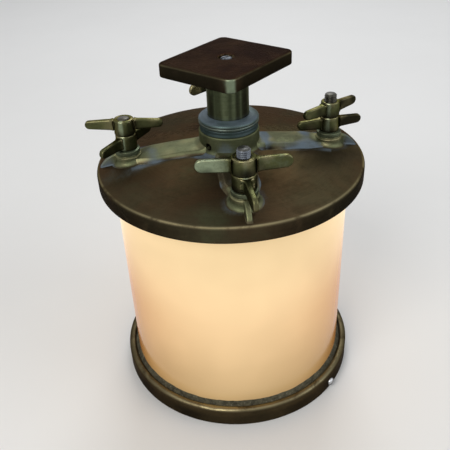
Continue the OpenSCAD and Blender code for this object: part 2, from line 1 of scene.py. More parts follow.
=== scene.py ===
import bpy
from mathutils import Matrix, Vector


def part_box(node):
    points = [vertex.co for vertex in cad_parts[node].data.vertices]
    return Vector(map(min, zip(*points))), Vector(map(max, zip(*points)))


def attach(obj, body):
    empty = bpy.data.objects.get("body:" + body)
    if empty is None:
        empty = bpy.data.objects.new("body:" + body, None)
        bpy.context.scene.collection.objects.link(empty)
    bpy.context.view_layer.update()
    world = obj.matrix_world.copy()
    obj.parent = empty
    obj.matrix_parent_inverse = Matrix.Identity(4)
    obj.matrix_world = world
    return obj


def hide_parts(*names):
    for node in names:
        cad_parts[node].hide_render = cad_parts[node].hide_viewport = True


bl_info = {
    "name": "Ship passageway lamp",
    "version": (1, 0, 0),
    "blender": (4, 5, 0),
    "location": "3D View > Sidebar > Passageway Lamp",
    "description": "Dresses the packed passageway lamp with its cast, turned and glazed surfaces",
    "category": "Object",
}

import math

import bmesh
import bpy
import numpy as np
from bpy.props import FloatProperty, FloatVectorProperty, IntProperty, PointerProperty
from bpy.types import Operator, Panel, PropertyGroup
from mathutils import Matrix, Vector

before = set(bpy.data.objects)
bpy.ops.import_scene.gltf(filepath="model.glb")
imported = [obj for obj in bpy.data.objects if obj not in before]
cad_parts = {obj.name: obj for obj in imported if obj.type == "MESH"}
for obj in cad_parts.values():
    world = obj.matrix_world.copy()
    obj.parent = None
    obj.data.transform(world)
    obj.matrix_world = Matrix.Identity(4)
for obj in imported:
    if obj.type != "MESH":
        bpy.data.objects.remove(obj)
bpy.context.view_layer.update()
MM = 0.001


def low(node, axis=2):
    """Lowest coordinate of a CAD node along an axis, in millimetres."""
    return float(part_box(node)[0][axis] / MM)


def high(node, axis=2):
    """Highest coordinate of a CAD node along an axis, in millimetres."""
    return float(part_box(node)[1][axis] / MM)


def middle(node, axis=2):
    """Middle of a CAD node along an axis, in millimetres."""
    return (low(node, axis) + high(node, axis)) / 2


GLASS_R, GLASS_LOW, GLASS_TOP = high("glass", 0), low("glass"), high("glass")
GLASS_WALL, STEM_WALL, STEM_GAP = 4.5, 3.4, 0.12
GLASS_IN_R = GLASS_R - GLASS_WALL
BASE_R, BASE_H = high("base_ring", 0), high("base_ring")
LIP_IN_R, FLOOR_Z, PUTTY_TOP = high("lower_putty", 0), low("lower_putty"), high("lower_putty")
SCREW_Z = middle("base_screws")
COVER_R, SKIRT_Z, HUB_TOP = high("cover", 0), low("cover"), high("cover")
SEAT_Z, SEAT_IN_R = high("cover_gasket"), 69.1
BOSS_TOP, WASHER_TOP, NUTS_TOP = low("washers"), high("washers"), high("front_lock_nut")
STUD_R = middle("right_clamp_nut", 0)
STUD_LONG, STUD_HOLE_R = 63.0, 5.6
WASHER_R = high("washers", 0) - STUD_R
STEM_R, STEM_LOW, STEM_TOP = high("stem", 0), low("stem"), high("stem")
STEM_IN_R, STEM_HOLE_R = STEM_R - STEM_WALL, STEM_R + STEM_GAP
SET_SCREW_Z, SET_SCREW_TURN = middle("stem_set_screw"), 220.0
NECK_R, NECK_TOP = high("stem_neck_ring", 0), high("stem_neck_ring")
COLLAR_R, COLLAR_TOP = high("stem_collar", 0), high("stem_collar")
PLATE_Z, PLATE_TOP, PLATE_TURN = low("mounting_plate"), high("mounting_plate"), -45.0
BULB_Z = 0.118
SIDES = {"front": -90.0, "right": 0.0, "back": 90.0, "left": 180.0}
STUD_AT = {side: (STUD_R * math.cos(math.radians(turn)), STUD_R * math.sin(math.radians(turn)), 0)
           for side, turn in SIDES.items()}


def size_mm(name, description, default, least, most):
    """A property for a length in millimetres."""
    return FloatProperty(name=name, description=description + ", mm", default=default, min=least, max=most)


def tone(name, description, *default):
    """A property for a colour."""
    return FloatVectorProperty(name=name, description=description, subtype="COLOR", size=3, default=default,
                               min=0.0, max=1.0)


class LampSizes(PropertyGroup):
    """Sizes that the dressed surfaces add to the CAD model's own."""

    dome_rise: size_mm("Dome rise", "Rise of the cover from its edge to its middle", 11.2, 4.0, 20.0)
    edge_level: size_mm("Edge level", "Cover's edge above its seat", 2.0, 1.0, 6.0)
    edge_round: size_mm("Edge round", "Rounding of the cover's upper edge", 3.0, 1.0, 5.0)
    hub_radius: size_mm("Hub radius", "Radius of the cover's hub", 24.8, 20.0, 30.0)
    foot_fillet: size_mm("Foot fillet", "Fillet where the hub meets the dome", 5.0, 1.0, 6.0)
    arm_half: size_mm("Arm half width", "Half the width of an arm", 12.8, 6.0, 14.0)
    arm_rise: size_mm("Arm rise", "Height of an arm above the dome", 3.9, 1.0, 5.0)
    boss_radius: size_mm("Boss radius", "Radius of a boss at its top", 9.4, 8.0, 11.0)
    boss_wall: size_mm("Boss wall", "Radius of a boss below its rim", 10.9, 9.5, 14.0)
    gusset_half: size_mm("Gusset half width", "Half the width of a gusset", 2.3, 1.5, 4.0)
    wing_thick: size_mm("Wing thickness", "Thickness of a nut's wing", 4.6, 3.0, 6.0)
    thread_pitch: size_mm("Thread pitch", "Pitch of the studs' thread", 1.5, 1.0, 2.0)
    plate_w: size_mm("Plate width", "Short side of the mounting plate", 72.5, 60.0, 90.0)
    plate_l: size_mm("Plate length", "Long side of the mounting plate", 81.8, 60.0, 110.0)
    plate_corner: size_mm("Plate corner", "Corner radius of the mounting plate", 6.5, 4.0, 14.0)
    around: IntProperty(name="Steps around", description="Steps round a large turned surface", default=192,
                        min=48, max=256)


class LampColours(PropertyGroup):
    """Colours of the finishes."""

    bronze: tone("Bronze", "Cover's brown patina", 0.060, 0.040, 0.022)
    olive: tone("Olive brass", "Arms, hub, nuts and stem", 0.125, 0.138, 0.072)
    bare: tone("Bare brass", "Brass worn bright at the edges", 0.42, 0.36, 0.20)
    # Also the colour of painted shade, wherever a piece's darkening attribute puts it.
    stain: tone("Stain", "Darkest tarnish", 0.012, 0.010, 0.006)
    bloom: tone("Bloom", "Blue-grey bloom in the corners", 0.13, 0.17, 0.205)
    putty: tone("Putty", "Hardened glazing putty", 0.10, 0.09, 0.055)
    opal: tone("Opal glass", "Unlit opal glass", 0.42, 0.325, 0.205)
    glow: tone("Glow", "Light of the glass beside the bulb", 0.82, 0.605, 0.33)
    steel: tone("Steel", "Studs and screws", 0.13, 0.145, 0.165)
    floor: tone("Floor", "Plain floor", 0.78, 0.77, 0.75)


def sizes():
    """The sizes that the panel shows."""
    return bpy.context.scene.lamp_sizes


def colours():
    """The colours that the panel shows."""
    return bpy.context.scene.lamp_colours


# Curves and surfaces, in millimetres


def unit(value):
    """The value, kept between nought and one."""
    return np.clip(value, 0, 1)


def bell(value, centre, wide):
    """A smooth hump of height one: e to the power of minus the square of (value - centre) / wide."""
    return np.exp(-((value - centre) / wide) ** 2)


def quarter(part):
    """How far a quarter circle has risen when it has covered this part of its way: 1 - sqrt(1 - part squared)."""
    return 1 - np.sqrt(1 - part ** 2)


def arc(x, z, radius, angles):
    """Points of a circle round (x, z)."""
    return np.stack([x + radius * np.cos(angles), z + radius * np.sin(angles)], -1)


def rounded(points, radii, steps=5, closed=True):
    """A polyline with its corners rounded: at each corner the arc touches both sides, its centre lies on
    their bisector, and its ends lie radius times tan(half the turn) from the corner."""
    points = np.asarray(points, float)
    out = []
    for i, radius in enumerate(radii):
        corner = points[i]
        if radius <= 0 or (not closed and i in (0, len(points) - 1)):
            out.append(corner[None])
            continue
        to_last, to_next = points[i - 1] - corner, points[(i + 1) % len(points)] - corner
        to_last, to_next = to_last / np.linalg.norm(to_last), to_next / np.linalg.norm(to_next)
        half = math.acos(float(np.clip(to_last @ to_next, -1, 1))) / 2
        reach = radius / math.tan(half)
        centre = corner + (to_last + to_next) / np.linalg.norm(to_last + to_next) * radius / math.sin(half)
        first, last = corner + to_last * reach - centre, corner + to_next * reach - centre
        turn = math.atan2(first[0] * last[1] - first[1] * last[0], float(first @ last))
        out.append(arc(*centre, radius, math.atan2(first[1], first[0]) + np.linspace(0, turn, steps + 1)))
    return np.concatenate(out)


def finer(points, longest, closed=True):
    """The same polyline with its long sides divided evenly, so no step is over longest."""
    points = np.asarray(points, float)
    ends = np.concatenate([points, points[:1]]) if closed else points
    out = []
    for p, q in zip(ends[:-1], ends[1:]):
        n = max(1, int(np.ceil(np.linalg.norm(q - p) / longest)))
        out.append(p + (q - p) * (np.arange(n) / n)[:, None])
    return np.concatenate(out if closed else out + [points[-1:]])


def rod(radius, start, end):
    """Half section of a plain rod."""
    return np.array([[0, start], [radius, start], [radius, end], [0, end]])


def turned(section, count=None):
    """Turns a half section about Z: (r, z) goes to (r cos a, r sin a, z) for evenly spaced angles a."""
    a = np.linspace(0, 2 * np.pi, count or sizes().around, endpoint=False)[:, None]
    r, z = section[None, :, 0], section[None, :, 1]
    return np.stack([np.cos(a) * r, np.sin(a) * r, np.ones_like(a) * z], -1)


def placed(grid, centre=(0, 0, 0), turn=0.0):
    """Turns a grid about Z by turn degrees, then moves it to centre."""
    c, s = math.cos(math.radians(turn)), math.sin(math.radians(turn))
    x = grid[..., 0] * c - grid[..., 1] * s + centre[0]
    y = grid[..., 0] * s + grid[..., 1] * c + centre[1]
    return np.stack([x, y, grid[..., 2] + centre[2]], -1)


def lathe(section, longest, count=None):
    """A closed turned shell whose section has no step over longest."""
    return turned(finer(section, longest), count), True, True


def lying(section, turn, level, count=32):
    """A closed turned shell laid along +X, raised to level and turned about Z."""
    grid = turned(section, count)
    return placed(grid[..., [2, 0, 1]], (0, 0, level), turn), True, True


def waves(grid, length, seed):
    """Smooth unevenness between about -1 and 1: the mean of eight sine waves in seeded directions, each with a
    wavelength within a factor of two of length."""
    rng = np.random.default_rng(seed)
    way = rng.normal(size=(8, 3))
    way = way / np.linalg.norm(way, axis=1, keepdims=True) * (2 * np.pi / length) * rng.uniform(0.6, 1.4, (8, 1))
    return np.sin(grid @ way.T + rng.uniform(0, 6.28, 8)).mean(-1) * 1.6


def dome_ball():
    """Radius and centre height of the sphere whose cap is the cover's dome."""
    rise = sizes().dome_rise
    ball = (COVER_R ** 2 + rise ** 2) / (2 * rise)
    return ball, SEAT_Z + sizes().edge_level + rise - ball


def dome_z(r):
    """Height of the cover's dome at distance r from the axis: the sphere's height there."""
    ball, centre_z = dome_ball()
    return centre_z + np.sqrt(ball ** 2 - np.asarray(r, float) ** 2)


def cover_section():
    """Closed half section of the cover's turned body: the dome's arc, its rounded edge, the skirt, the seat,
    the hollow underside and the hub, whose foot fillet touches both the hub's wall and the dome's arc."""
    s = sizes()
    ball, centre_z = dome_ball()
    hub, fillet, soft = s.hub_radius, s.foot_fillet, s.edge_round
    top = rounded([[STEM_HOLE_R, HUB_TOP], [hub, HUB_TOP], [hub, HUB_TOP - 8]], [0, 1.3, 0], 6, False)
    fx = hub + fillet
    fz = centre_z + math.sqrt((ball + fillet) ** 2 - fx ** 2)
    foot = arc(fx, fz, fillet, np.linspace(math.pi, 2 * math.pi + math.atan2(centre_z - fz, -fx), 10))
    wall = finer([top[-1], foot[0]], 2.0, False)[1:-1]
    ex = COVER_R - soft
    ez = centre_z + math.sqrt((ball - soft) ** 2 - ex ** 2)
    r = np.linspace(foot[-1, 0], ex * ball / (ball - soft), 60)[1:]
    edge = arc(ex, ez, soft, np.linspace(math.atan2(ez - centre_z, ex), 0, 9)[1:])
    skirt_in, hub_in = COVER_R - 5.5, hub - 2.5
    under = rounded([[COVER_R, ez - 1], [COVER_R, SKIRT_Z], [skirt_in, SKIRT_Z], [skirt_in, SEAT_Z],
                     [SEAT_IN_R, SEAT_Z], [SEAT_IN_R, float(dome_z(SEAT_IN_R)) - 5],
                     [hub_in, float(dome_z(hub)) - 5], [hub_in, SEAT_Z], [STEM_IN_R, SEAT_Z],
                     [STEM_IN_R, STEM_LOW], [STEM_HOLE_R, STEM_LOW]],
                    [0, 1.2, 1.0, 1.0, 0.8, 2.0, 2.0, 0.8, 0.4, 0, 0], 5, False)
    return np.concatenate([top[:-1], wall, foot, np.stack([r, dome_z(r)], -1), edge, finer(under, 4.0, False)[1:]])


def closed_ends(grid):
    """The grid with its first and last rows drawn together to their middles, which closes a tube."""
    first, last = (np.broadcast_to(row.mean(1, keepdims=True), row.shape) for row in (grid[:1], grid[-1:]))
    return np.concatenate([first, grid, last])


def gusset():
    """A gusset along +X outside a boss. Its top falls from the boss to the dome's edge on an arc that bulges
    upwards. Its cross-section at distance r runs from under the dome, through a concave fillet that leaves the
    dome without a kink, up a straight side and over a rounded shoulder to the middle, then mirrored. Fillet and
    shoulder shrink where the gusset is lower than both."""
    s = sizes()
    x0, z0 = STUD_R + s.boss_radius + 0.6, BOSS_TOP - 0.4
    x1 = COVER_R - s.edge_round
    z1 = float(dome_z(x1)) - 0.3
    chord, bulge = math.hypot(x1 - x0, z0 - z1), 24.0
    back = math.sqrt(bulge ** 2 - (chord / 2) ** 2) / chord
    cx, cz = (x0 + x1) / 2 - (z0 - z1) * back, (z0 + z1) / 2 - (x1 - x0) * back
    r = np.linspace(STUD_R + s.boss_radius - 2.5, x1, 26)
    curve = cz + np.sqrt(np.maximum(bulge ** 2 - (r - cx) ** 2, 0))
    top = np.where(r < x0, z0, np.minimum(curve, z0))
    flare = 0.8 * quarter(unit((STUD_R + s.boss_radius + 3.0 - r) / 3.0))
    half = s.gusset_half + flare - 0.4 * unit((r - x0) / (x1 - x0))
    base, soft, fillet = dome_z(r), 1.1, 1.2
    shrink = np.minimum(1, np.maximum(top - base, 0.02) / (soft + fillet + 0.2))
    f, q = fillet * shrink, soft * shrink
    y, z = [half + f + 1.5], [base - 0.6]
    for angle in np.linspace(-np.pi / 2, -np.pi, 8):
        y.append(half + f + f * np.cos(angle))
        z.append(base + f + f * np.sin(angle))
    for angle in np.linspace(0, np.pi / 2, 7):
        y.append(half - q + q * np.cos(angle))
        z.append(top - q + q * np.sin(angle))
    y, z = np.array(y + [(half - q) * 0.5]), np.array(z + [top])
    y, z = np.concatenate([y, -y[::-1]]), np.concatenate([z, z[::-1]])
    x = np.broadcast_to(r, y.shape)
    z = z + np.where(np.abs(y) > half, dome_z(np.hypot(x, y)) - dome_z(x), 0)
    return closed_ends(np.stack([x, y, z], -1).transpose(1, 0, 2))


EDGE_IN, EDGE_OUT = 1.3, 3.2


def edge_step(d):
    """One well inside an edge and nought outside it: the power 1.35 of a smooth step over the distance d from
    the edge, in millimetres, from 1.3 inside to 3.2 outside, so its foot is longer than its shoulder."""
    t = unit((EDGE_OUT - d) / (EDGE_IN + EDGE_OUT))
    return (t * t * (3 - 2 * t)) ** 1.35


def arm_surface(root):
    """One arm along +X, a tube of closed cross-sections, each on an arc round the axis at distance r. Over the
    dome its height is arm_rise times the edge step across its width, less a slight crown. The half width grows
    towards the hub by a decaying curve, stays under 0.6 of r, and shrinks by a smooth step before the boss.
    The top rises to the hub by root on a quarter circle. The section's ends lie under the dome."""
    s = sizes()
    hub = s.hub_radius
    r = np.concatenate([np.linspace(hub - 3, hub + 9, 16, endpoint=False), np.linspace(hub + 9, STUD_R - 5.8, 34)])
    flare, flare_over, root_over = 1.2, 5.0, 5.0
    narrow_from, narrow_over, narrow_by = 64.0, 14.0, 3.2
    near = unit((r - narrow_from) / narrow_over)
    wide = s.arm_half + flare * np.exp(-(r - hub) / flare_over) - narrow_by * near ** 2 * (3 - 2 * near)
    wide = np.minimum(wide, 0.6 * r)
    inner = np.linspace(0, 1, 7, endpoint=False)[:, None] * (wide - EDGE_IN)[None]
    outer = wide[None] + np.linspace(-EDGE_IN, EDGE_OUT, 15)[:, None]
    half = np.concatenate([inner, outer, wide[None] + 3.9])
    y = np.concatenate([-half[::-1], half[1:]])
    rise = s.arm_rise + root * quarter(unit((hub + root_over - r) / root_over))
    away = np.abs(y) - wide
    crown = 1 - 0.12 * (y / wide) ** 2
    z = dome_z(r) + (rise * crown * edge_step(away) - 0.05 - 0.9 * (away > 3.3))
    grid = np.stack([np.sqrt(r ** 2 - y ** 2), y, z], -1).transpose(1, 0, 2)
    uneven = np.stack([0 * grid[..., 0], 0.2 * waves(grid, 30, 11), 0.1 * waves(grid, 24, 12)], -1)
    return closed_ends(grid + uneven)


def boss():
    """A boss round a stud: its bore, its rim, a short shoulder with a rounded edge, a wall, and a foot fillet.
    The fillet is a quarter circle measured up from the dome, so it leaves it without a kink, and its radius
    shrinks where the dome is high."""
    radius, wall = sizes().boss_radius, sizes().boss_wall
    a = np.linspace(0, 2 * np.pi, 96, endpoint=False)

    def dome_below(rho):
        """Height of the dome at the distance rho from the stud, all the way round."""
        return dome_z(np.minimum(np.hypot(STUD_R + rho * np.cos(a), rho * np.sin(a)), COVER_R))

    edge = rounded([[radius + 0.1, BOSS_TOP - 0.6], [wall, BOSS_TOP - 1.3], [wall, BOSS_TOP - 9]], [0, 0.7, 0], 6,
                   False)[:-1]
    rows = [(STUD_HOLE_R, SEAT_Z + 0.6), (STUD_HOLE_R, BOSS_TOP - 0.4), (6.0, BOSS_TOP), (radius - 0.5, BOSS_TOP),
            (radius - 0.15, BOSS_TOP - 0.15), (radius, BOSS_TOP - 0.5), *edge]
    fillet = np.clip(edge[-1, 1] - 0.2 - dome_below(wall), 0.15, 4.2)
    for turn in np.linspace(0, np.pi / 2, 11):
        rho = wall + fillet * (1 - math.cos(turn))
        rows.append((rho, dome_below(rho) + fillet * (1 - math.sin(turn)) - 0.04))
    rows.append((wall + fillet + 0.8, dome_below(wall + fillet + 0.8) - 1.0))
    rows.append((radius - 2, SEAT_Z + 0.6))
    rho, z = (np.array([row[k] + 0 * a for row in rows]) for k in (0, 1))
    return np.stack([STUD_R + rho * np.cos(a), rho * np.sin(a), z], -1).transpose(1, 0, 2)


def across(outline):
    """Unit vectors square to a closed polyline: each is the line between its two neighbours, turned by a right
    angle."""
    along = np.roll(outline, -1, 0) - np.roll(outline, 1, 0)
    normal = np.stack([along[:, 1], -along[:, 0]], -1)
    return normal / np.linalg.norm(normal, axis=1, keepdims=True)


def thick_plate(outline, spine, half, soft):
    """A plate with soft edges. Around the outline the surface runs from the spine over the face, round the
    edge on a quarter circle, and back on the other side. outline and spine are (x, z) points in pairs, half
    gives half the thickness at x, and the plate stands in the X-Z plane."""
    normal = across(outline)
    normal = normal * np.where(((outline - spine) * normal).sum(1, keepdims=True) < 0, -1.0, 1.0)
    rows = []
    for k in np.linspace(0, 1, 4, endpoint=False):
        p = spine + (outline - normal * soft - spine) * k
        rows.append((p, half(p[:, 0])))
    for turn in np.linspace(np.pi / 2, 0, 6):
        p = outline - normal * soft * (1 - np.cos(turn))
        rows.append((p, half(p[:, 0]) - soft + soft * np.sin(turn)))
    front = np.array([np.stack([p[:, 0], y, p[:, 1]], -1) for p, y in rows])
    return np.concatenate([front, front[::-1] * np.array([1, -1, 1])]).transpose(1, 0, 2)


def wing_nut(barrel_r, span, tall, bends, tip_tall, root_tall, mid):
    """Shells of a wing nut on the Z axis: a bored barrel and two wings along X. A wing's outline is a bar that
    tapers from root_tall to a round tip of tip_tall, both about the height mid. Its thickness grows towards the
    barrel on a quarter circle, and bends gives how many degrees each wing is bent upwards."""
    thick, bore, fillet = sizes().wing_thick, 5.05, 3.4
    section = rounded([[bore, 0.5], [bore + 0.5, 0], [barrel_r, 0], [barrel_r - 0.35, tall], [bore + 0.6, tall],
                       [bore, tall - 0.6]], [0, 0, 0.9, 1.3, 0.2, 0])
    shells = [lathe(section, 2.0, 72)]
    tip = tip_tall / 2
    start, tip_x = bore + 1.3, span / 2 - tip
    face = math.sqrt(barrel_r ** 2 - (thick / 2) ** 2)

    def half(x):
        """Half the wing's thickness at x: a slight taper, and the fillet beside the barrel."""
        flare = fillet * np.where(x < face, 0, quarter(1 - np.clip(x - face, 0, fillet) / fillet))
        return thick / 2 * (1.02 - 0.14 * x / tip_x) + flare * 0.9

    x = start + (tip_x - start) * (np.linspace(0, 1, 22) ** 1.5)
    rise = root_tall / 2 + (tip - root_tall / 2) * (x - start) / (tip_x - start)
    outline = np.concatenate([np.stack([x, mid - rise], -1),
                              arc(tip_x, mid, tip, np.linspace(-np.pi / 2, np.pi / 2, 17)[1:-1]),
                              np.stack([x, mid + rise], -1)[::-1]])
    spine = np.stack([np.clip(outline[:, 0], start, tip_x), np.full(len(outline), mid)], -1)
    for side, bend in zip((0, 180), bends):
        grid = thick_plate(outline, spine, half, soft=1.15)
        far = np.maximum(grid[..., 0] - face, 0)
        grid[..., 2] += far * math.tan(math.radians(bend)) * unit(far / 6)
        shells.append((placed(grid, turn=side), True, False))
    return shells


def thread(bottom, top):
    """A threaded stud: r is the radius less the depth times a rounded ridge whose phase is height over pitch less
    angle over a full turn. The ends are bevelled and closed."""
    pitch, radius, depth, bevel = sizes().thread_pitch, 5.0, 0.85, 1.0
    a = np.linspace(0, 2 * np.pi, 36, endpoint=False)[:, None]
    z = np.linspace(bottom, top, int((top - bottom) / pitch * 9))[None]
    ridge = np.abs((z / pitch - a / (2 * np.pi)) % 1.0 * 2 - 1)
    r = radius - depth * unit(ridge * 1.25 - 0.12)
    r = np.minimum(r, np.minimum(z - bottom, top - z) + radius - bevel)
    return closed_ends(np.stack([np.cos(a) * r, np.sin(a) * r, z + 0 * a], -1).transpose(1, 0, 2))


def slotted_head(radius, tall, slot, deep):
    """A pan head on the X axis, cut by a slot along Y. Points lie on chords: y is along the chord, z is
    across it, and the height is a flat-topped dome less the slot's depth between its two walls."""
    side = np.sin(np.linspace(0, np.pi / 2, 12)) * (radius - slot)
    z = np.concatenate([-slot - side[::-1], [-slot * 0.98, 0, slot * 0.98], slot + side])
    z = np.clip(z, -radius, radius)[:, None]
    y = np.sin(np.linspace(-np.pi / 2, np.pi / 2, 21)) * np.sqrt(np.maximum(radius ** 2 - z ** 2, 0))
    z = np.broadcast_to(z, y.shape)
    x = tall * np.sqrt(1 - unit(np.hypot(y, z) / radius) ** 5)
    x = np.where(np.abs(z) < slot * 0.99, np.minimum(x, tall - deep), x)
    grid = np.stack([x, y, z], -1)
    return np.concatenate([grid, grid[::-1] * np.array([0, 1, 1])])


# Pieces


class Points:
    """A mesh's points in millimetres, with what the masks measure at each: the distance r from the axis, the angle
    round it in degrees, the height over the dome, and the distances from the nearest stud's axis and from the
    nearest arm's middle plane."""

    def __init__(self, mesh):
        flat = np.zeros(len(mesh.vertices) * 3, np.float32)
        mesh.vertices.foreach_get("co", flat)
        self.co = flat.reshape(-1, 3) / MM
        self.x, self.y, self.z = x, y, z = self.co.T
        self.r = np.hypot(x, y)
        self.angle = np.degrees(np.arctan2(y, x))
        self.over = z - dome_z(np.minimum(self.r, COVER_R - 0.1))
        self.stud = np.minimum(np.hypot(np.abs(x) - STUD_R, y), np.hypot(x, np.abs(y) - STUD_R))
        self.arm = np.minimum(np.abs(x), np.abs(y))

    def waves(self, length, seed):
        """Smooth unevenness at each point."""
        return waves(self.co, length, seed)


def store_masks(mesh, masks):
    """Stores each mask, a function of the points, as an attribute of the mesh."""
    points = Points(mesh)
    for key, rule in masks.items():
        layer = mesh.attributes.get(key) or mesh.attributes.new(key, "FLOAT", "POINT")
        layer.data.foreach_set("value", rule(points).astype(np.float32))


def shell_faces(rows, columns, wrap_rows, wrap_columns, start):
    """Quads of a grid whose points are numbered row by row from start."""
    i, j = np.meshgrid(np.arange(rows - (not wrap_rows)), np.arange(columns - (not wrap_columns)), indexing="ij")
    i2, j2 = (i + 1) % rows, (j + 1) % columns
    quads = np.stack([i * columns + j, i2 * columns + j, i2 * columns + j2, i * columns + j2], -1)
    return quads.reshape(-1, 4) + start


def added(name, data):
    """A new object in the scene."""
    item = bpy.data.objects.new(name, data)
    bpy.context.scene.collection.objects.link(item)
    return item


def make_piece(name, shells, finish, body, nodes=(), masks=None, sharp=40.0):
    """One mesh from several grids of points in millimetres. Doubles are merged, which closes seams and poles,
    and the faces are turned outwards."""
    points, quads, start = [], [], 0
    for grid, *wraps in shells:
        points.append(grid.reshape(-1, 3))
        quads.append(shell_faces(*grid.shape[:2], *wraps, start))
        start += len(points[-1])
    points, quads = np.concatenate(points), np.concatenate(quads)
    mesh = bpy.data.meshes.new(name)
    mesh.vertices.add(len(points))
    mesh.vertices.foreach_set("co", (points * MM).astype(np.float32).ravel())
    mesh.loops.add(quads.size)
    mesh.loops.foreach_set("vertex_index", quads.astype(np.int32).ravel())
    mesh.polygons.add(len(quads))
    mesh.polygons.foreach_set("loop_start", np.arange(0, quads.size, 4, dtype=np.int32))
    mesh.update(calc_edges=True)
    work = bmesh.new()
    work.from_mesh(mesh)
    bmesh.ops.remove_doubles(work, verts=work.verts, dist=2e-6)
    bmesh.ops.dissolve_degenerate(work, edges=work.edges, dist=1e-6)
    bmesh.ops.recalc_face_normals(work, faces=work.faces)
    work.to_mesh(mesh)
    work.free()
    mesh.polygons.foreach_set("use_smooth", np.ones(len(mesh.polygons), bool))
    mesh.set_sharp_from_angle(angle=math.radians(sharp))
    store_masks(mesh, masks or {})
    piece = added(name, mesh)
    mesh.materials.append(FINISH[finish])
    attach(piece, body)
    if nodes:
        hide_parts(*nodes)
    return piece


# Materials


class Wiring:
    """Short ways to make the nodes of one material, group or world."""

    def __init__(self, tree):
        self.tree = tree

    def feed(self, node, values):
        """Gives a node its inputs: sockets are linked, numbers and colours are set."""
        for key, value in values.items():
            if isinstance(value, bpy.types.NodeSocket):
                self.tree.links.new(value, node.inputs[key])
            else:
                node.inputs[key].default_value = (*value, 1.0) if isinstance(value, tuple) else value

    def new(self, kind, values=None, **settings):
        """A node with its settings and its inputs."""
        node = self.tree.nodes.new(kind)
        for key, value in settings.items():
            setattr(node, key, value)
        self.feed(node, values or {})
        return node

    def math(self, operation, a, b=0.0, clamp=False):
        """A Math node of two sockets or numbers."""
        return self.new("ShaderNodeMath", {0: a, 1: b}, operation=operation, use_clamp=clamp).outputs[0]

    def add(self, a, b, clamp=False):
        """a plus b."""
        return self.math("ADD", a, b, clamp)

    def less(self, a, b, clamp=False):
        """a less b."""
        return self.math("SUBTRACT", a, b, clamp)

    def times(self, a, b, clamp=False):
        """a times b."""
        return self.math("MULTIPLY", a, b, clamp)

    def ramp(self, value, start, end):
        """Maps start..end to 0..1 smoothly."""
        return self.new("ShaderNodeMapRange", {"Value": value, "From Min": start, "From Max": end},
                        interpolation_type="SMOOTHSTEP").outputs["Result"]

    def mix(self, factor, a, b, mode="MIX"):
        """A colour mix."""
        return self.new("ShaderNodeMix", {0: factor, 6: a, 7: b}, data_type="RGBA", blend_type=mode).outputs[2]

    def place(self):
        """Coordinates in the object's own frame."""
        return self.new("ShaderNodeTexCoord").outputs["Object"]

    def parts(self, vector):
        """A vector's X, Y and Z."""
        return self.new("ShaderNodeSeparateXYZ", {0: vector}).outputs

    def mask(self, name):
        """A mask that is stored on the piece; nought where the piece has none."""
        return self.new("ShaderNodeAttribute", attribute_name=name).outputs["Fac"]

    def noise(self, vector, scale, detail, rough, warp=0.0):
        """A noise texture whose scale is in waves to the metre."""
        return self.new("ShaderNodeTexNoise", {"Vector": vector, "Scale": scale, "Detail": detail,
                                               "Roughness": rough, "Distortion": warp}).outputs["Fac"]

    def bump(self, height, strength, distance):
        """The normal of a height map; distance in millimetres."""
        return self.new("ShaderNodeBump", {"Height": height, "Strength": strength,
                                           "Distance": distance * MM}).outputs[0]


def new_group(name, inputs, outputs):
    """A shader node group. inputs gives each socket's default, and the output named Color is a colour."""
    tree = bpy.data.node_groups.new(name, "ShaderNodeTree")
    for label, default in inputs.items():
        kind = "NodeSocketColor" if isinstance(default, tuple) else "NodeSocketFloat"
        tree.interface.new_socket(name=label, in_out="INPUT", socket_type=kind).default_value = default
    for label in outputs:
        kind = "NodeSocketColor" if label == "Color" else "NodeSocketFloat"
        tree.interface.new_socket(name=label, in_out="OUTPUT", socket_type=kind)
    w = Wiring(tree)
    return w, w.new("NodeGroupInput").outputs, w.new("NodeGroupOutput")


